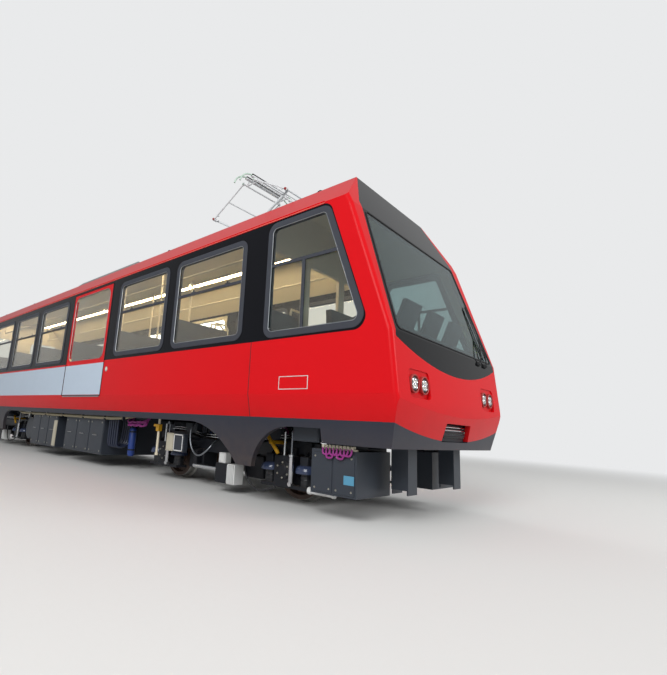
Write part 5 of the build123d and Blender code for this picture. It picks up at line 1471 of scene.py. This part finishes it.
class RACKCAR_OT_roof_gear(bpy.types.Operator):
    """Seams, vents, lifting eyes and high-voltage leads on the roof, and the louvres of the resistor"""
    bl_idname = "rackcar.roof_gear"
    bl_label = "Roof gear"

    def execute(self, context):
        seams, vents, eyes, louvres, covers = forms(5)
        for x in (-5.2, -3.4, -1.9, 1.25, 2.9, 5.05):
            seams.block((x - 0.006, -0.79, ROOF_TOP - 0.001), (x + 0.006, 0.79, ROOF_TOP + 0.002))
        low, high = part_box("roof_resistor")
        pitch = (high.x - low.x - 0.24) / 13
        for side, _ in SIDES:
            for x in (-5.9, -4.5, -2.7, 1.9):
                vents.turned((x, side * 0.38, ROOF_TOP - 0.002), UP,
                             [(0.0, 0.15), (0.02, 0.15), (0.022, 0.13), (0.05, 0.13), (0.052, 0.165),
                              (0.075, 0.160), (0.095, 0.10), (0.10, 0.001)], 36)
            for x in (-6.2, -3.9, 2.4, 5.6):
                eyes.tube([(x + 0.05 * math.cos(t), side * 0.72, ROOF_TOP + 0.012 + 0.05 * math.sin(t))
                           for t in [math.pi * k / 8 for k in range(9)]], 0.009, 8)
                eyes.turned((x, side * 0.72, ROOF_TOP - 0.001), UP, [(0.0, 0.075), (0.006, 0.075)], 20)
            for k in range(13):
                x = low.x + 0.132 + pitch * k
                for rise in (0.085, 0.110, 0.135, 0.160):
                    z = ROOF_TOP + rise
                    section = [(x, side * 0.558, z), (x, side * 0.574, z - 0.012),
                               (x, side * 0.558, z - 0.004)]
                    louvres.prism(section, (pitch - 0.024, 0.0, 0.0))
        cover_pitch = (high.x - low.x - 0.2) / 3
        for k in range(3):
            x0 = low.x + 0.10 + k * cover_pitch
            x1 = x0 + cover_pitch - 0.02
            covers.block((x0, -0.45, high.z - 0.001), (x1, 0.45, high.z + 0.006))
            for x in (x0 + 0.05, x1 - 0.05):
                for y in (-0.41, 0.41):
                    covers.bolt((x, y, high.z + 0.005), UP, 0.010)
        place_all("", "car_body", ((seams, "roof_seams", "joint_rubber_extruded"),
                                   (vents, "roof_vents", "roof_case_painted"),
                                   (eyes, "lifting_eyes", "frame_steel_painted"),
                                   (louvres, "resistor_louvres", "roof_case_painted"),
                                   (covers, "resistor_covers", "roof_case_painted", 0.002)))
        leads = [[(3.52, -0.30, 0.10), (3.40, -0.34, 0.12), (3.10, -0.45, 0.03), (2.40, -0.45, 0.022),
                  (1.60, -0.40, 0.022), (1.30, -0.36, 0.04), (1.00, -0.36, 0.05)],
                 [(1.00, 0.30, 0.03), (2.40, 0.30, 0.022), (4.90, 0.30, 0.022)]]
        pipes("roof_leads", [mirrored(1, lead, 0.0, ROOF_TOP) for lead in leads], 0.020,
              "hose_rubber_moulded")
        return {"FINISHED"}


class RACKCAR_OT_pantograph(bpy.types.Operator):
    """Insulator sheds, raising springs, knee shunts and knee caps of the pantograph"""
    bl_idname = "rackcar.pantograph"
    bl_label = "Pantograph"

    def execute(self, context):
        low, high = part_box("panto_base")
        x_middle = (low.x + high.x) / 2
        sheds, springs = forms(2)
        for side, _ in SIDES:
            for out in (-0.36, 0.36):
                for k in range(3):
                    sheds.turned((x_middle + out, side * 0.30, ROOF_TOP + 0.003 + 0.016 * k), UP,
                                 [(0.0, 0.050), (0.002, 0.075), (0.006, 0.076), (0.012, 0.052)], 28)
            y, z = side * 0.19, ROOF_TOP + 0.125
            springs.tube([(x_middle - 0.26 + 0.52 * k / 320, y + 0.020 * math.cos(2 * math.pi * k / 10),
                           z + 0.020 * math.sin(2 * math.pi * k / 10)) for k in range(321)], 0.004, 5)
            for out in (-1, 1):
                springs.tube([(x_middle + out * 0.26, y, z), (x_middle + out * 0.40, y, ROOF_TOP + 0.075)],
                             0.007, 8)
        place_all("", "car_body", ((sheds, "base_insulator_sheds", "silicone_insulator_moulded"),
                                   (springs, "raising_springs", "panto_enamel_red")))
        for end, out in (("front", 1), ("rear", -1)):
            knee = PIVOTS["panto_upper_" + end]
            caps, shunts = Form(), []
            for side, _ in SIDES:
                caps.turned(knee + Vector((0.0, side * 0.424, 0.0)), (0, side, 0),
                            [(0.0, 0.020), (0.012, 0.020), (0.014, 0.014), (0.022, 0.012),
                             (0.022, 0.001)], 16)
                shunts.append([knee + Vector((out * x, side * 0.395, z)) for x, z in (
                    (-0.10, 0.030), (-0.03, 0.055), (0.035, 0.0), (-0.03, -0.055), (-0.10, -0.045))])
            caps.place("knee_caps_" + end, "panto_enamel_red", "panto_lower_" + end)
            pipes("knee_shunts_" + end, shunts, 0.004, "hose_steel_braided", "panto_lower_" + end)
        return {"FINISHED"}


class RACKCAR_OT_couplers(bpy.types.Operator):
    """Ribs, trim and bolts of the front coupler, pin and hoses of the rear one, and the tail lamps"""
    bl_idname = "rackcar.couplers"
    bl_label = "Couplers"

    def execute(self, context):
        front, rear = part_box("front_coupler")[1].x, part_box("rear_coupler")[0].x
        ribs, trim, bolts, pin, lamps, rims = forms(6)
        for z in (0.875, 0.905):
            trim.tube([(front - 0.004, -0.27, z), (front - 0.004, 0.27, z)], 0.007, 8)
        for z in (0.81, 0.845):
            ribs.block((front - 0.020, -0.255, z - 0.012), (front + 0.004, 0.255, z + 0.010))
        pin.turned((rear + 0.062, 0.0, RAIL_TOP + 0.62), UP,
                   [(0.0, 0.020), (0.004, 0.025), (0.156, 0.025), (0.158, 0.036), (0.176, 0.036),
                    (0.18, 0.030)])
        for side, _ in SIDES:
            bolts.bolt((front - 0.002, side * 0.275, 0.86), FORWARD, 0.009)
            for z in (1.30, 1.46):
                spot = (REAR_X + 0.002, side * 1.02, z)
                rims.turned(spot, (-1, 0, 0), [(0.0, 0.062), (0.018, 0.062), (0.022, 0.056), (0.018, 0.050),
                                               (0.0, 0.050)], 28)
                lamps.turned(spot, (-1, 0, 0), [(0.0, 0.050), (0.014, 0.050), (0.020, 0.036),
                                                (0.022, 0.001)], 28)
        place_all("", "car_body", ((ribs, "front_coupler_ribs", "black_lacquer_polished", 0.004),
                                   (trim, "front_coupler_trim", "chrome_plated"),
                                   (bolts, "front_coupler_bolts", "bolt_steel_zinc_plated"),
                                   (pin, "rear_coupler_pin", "steel_machined_oiled")))
        hose = ((-0.010, 0.42, 0.93), (-0.075, 0.42, 0.92), (-0.110, 0.42, 0.84), (-0.085, 0.42, 0.74),
                (-0.03, 0.42, 0.73), (0.10, 0.42, 0.80))
        pipes("rear_brake_hoses", [mirrored(side, hose, REAR_X) for side, _ in SIDES], 0.016,
              "hose_rubber_moulded")
        place_all("", "car_body", ((rims, "tail_lamp_rims", "chrome_plated"),
                                   (lamps, "tail_lamps", "tail_lens_moulded")))
        return {"FINISHED"}


OPERATORS = (
    RACKCAR_OT_stage,
    RACKCAR_OT_node_finishes,
    RACKCAR_OT_body_trim,
    RACKCAR_OT_glazing,
    RACKCAR_OT_lamps,
    RACKCAR_OT_wiper,
    RACKCAR_OT_cab,
    RACKCAR_OT_saloon,
    RACKCAR_OT_roof_gear,
    RACKCAR_OT_pantograph,
    RACKCAR_OT_springs,
    RACKCAR_OT_axle_boxes,
    RACKCAR_OT_bogie_fittings,
    RACKCAR_OT_wheel_trim,
    RACKCAR_OT_motors,
    RACKCAR_OT_underfloor,
    RACKCAR_OT_couplers,
)


class RACKCAR_PT_tools(bpy.types.Panel):
    """Lists the steps that finish the car, and its settings"""
    bl_idname = "RACKCAR_PT_tools"
    bl_label = "Rack Car"
    bl_space_type = "VIEW_3D"
    bl_region_type = "UI"
    bl_category = "Rack Car"

    def draw(self, context):
        for operator in OPERATORS:
            self.layout.operator(operator.bl_idname)
        for group in (context.scene.rackcar_colours, context.scene.rackcar_sizes):
            for name in group.__annotations__:
                self.layout.prop(group, name)


CLASSES = (RackCarColours, RackCarSizes, *OPERATORS, RACKCAR_PT_tools)


def register():
    """Registers the classes and the settings."""
    for made in CLASSES:
        bpy.utils.register_class(made)
    bpy.types.Scene.rackcar_colours = PointerProperty(type=RackCarColours)
    bpy.types.Scene.rackcar_sizes = PointerProperty(type=RackCarSizes)


def unregister():
    """Takes the settings and the classes away again."""
    del bpy.types.Scene.rackcar_sizes
    del bpy.types.Scene.rackcar_colours
    for made in reversed(CLASSES):
        bpy.utils.unregister_class(made)


def main():
    """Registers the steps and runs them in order."""
    register()
    for operator in OPERATORS:
        group, name = operator.bl_idname.split(".")
        getattr(getattr(bpy.ops, group), name)()


if __name__ == "__main__":
    main()
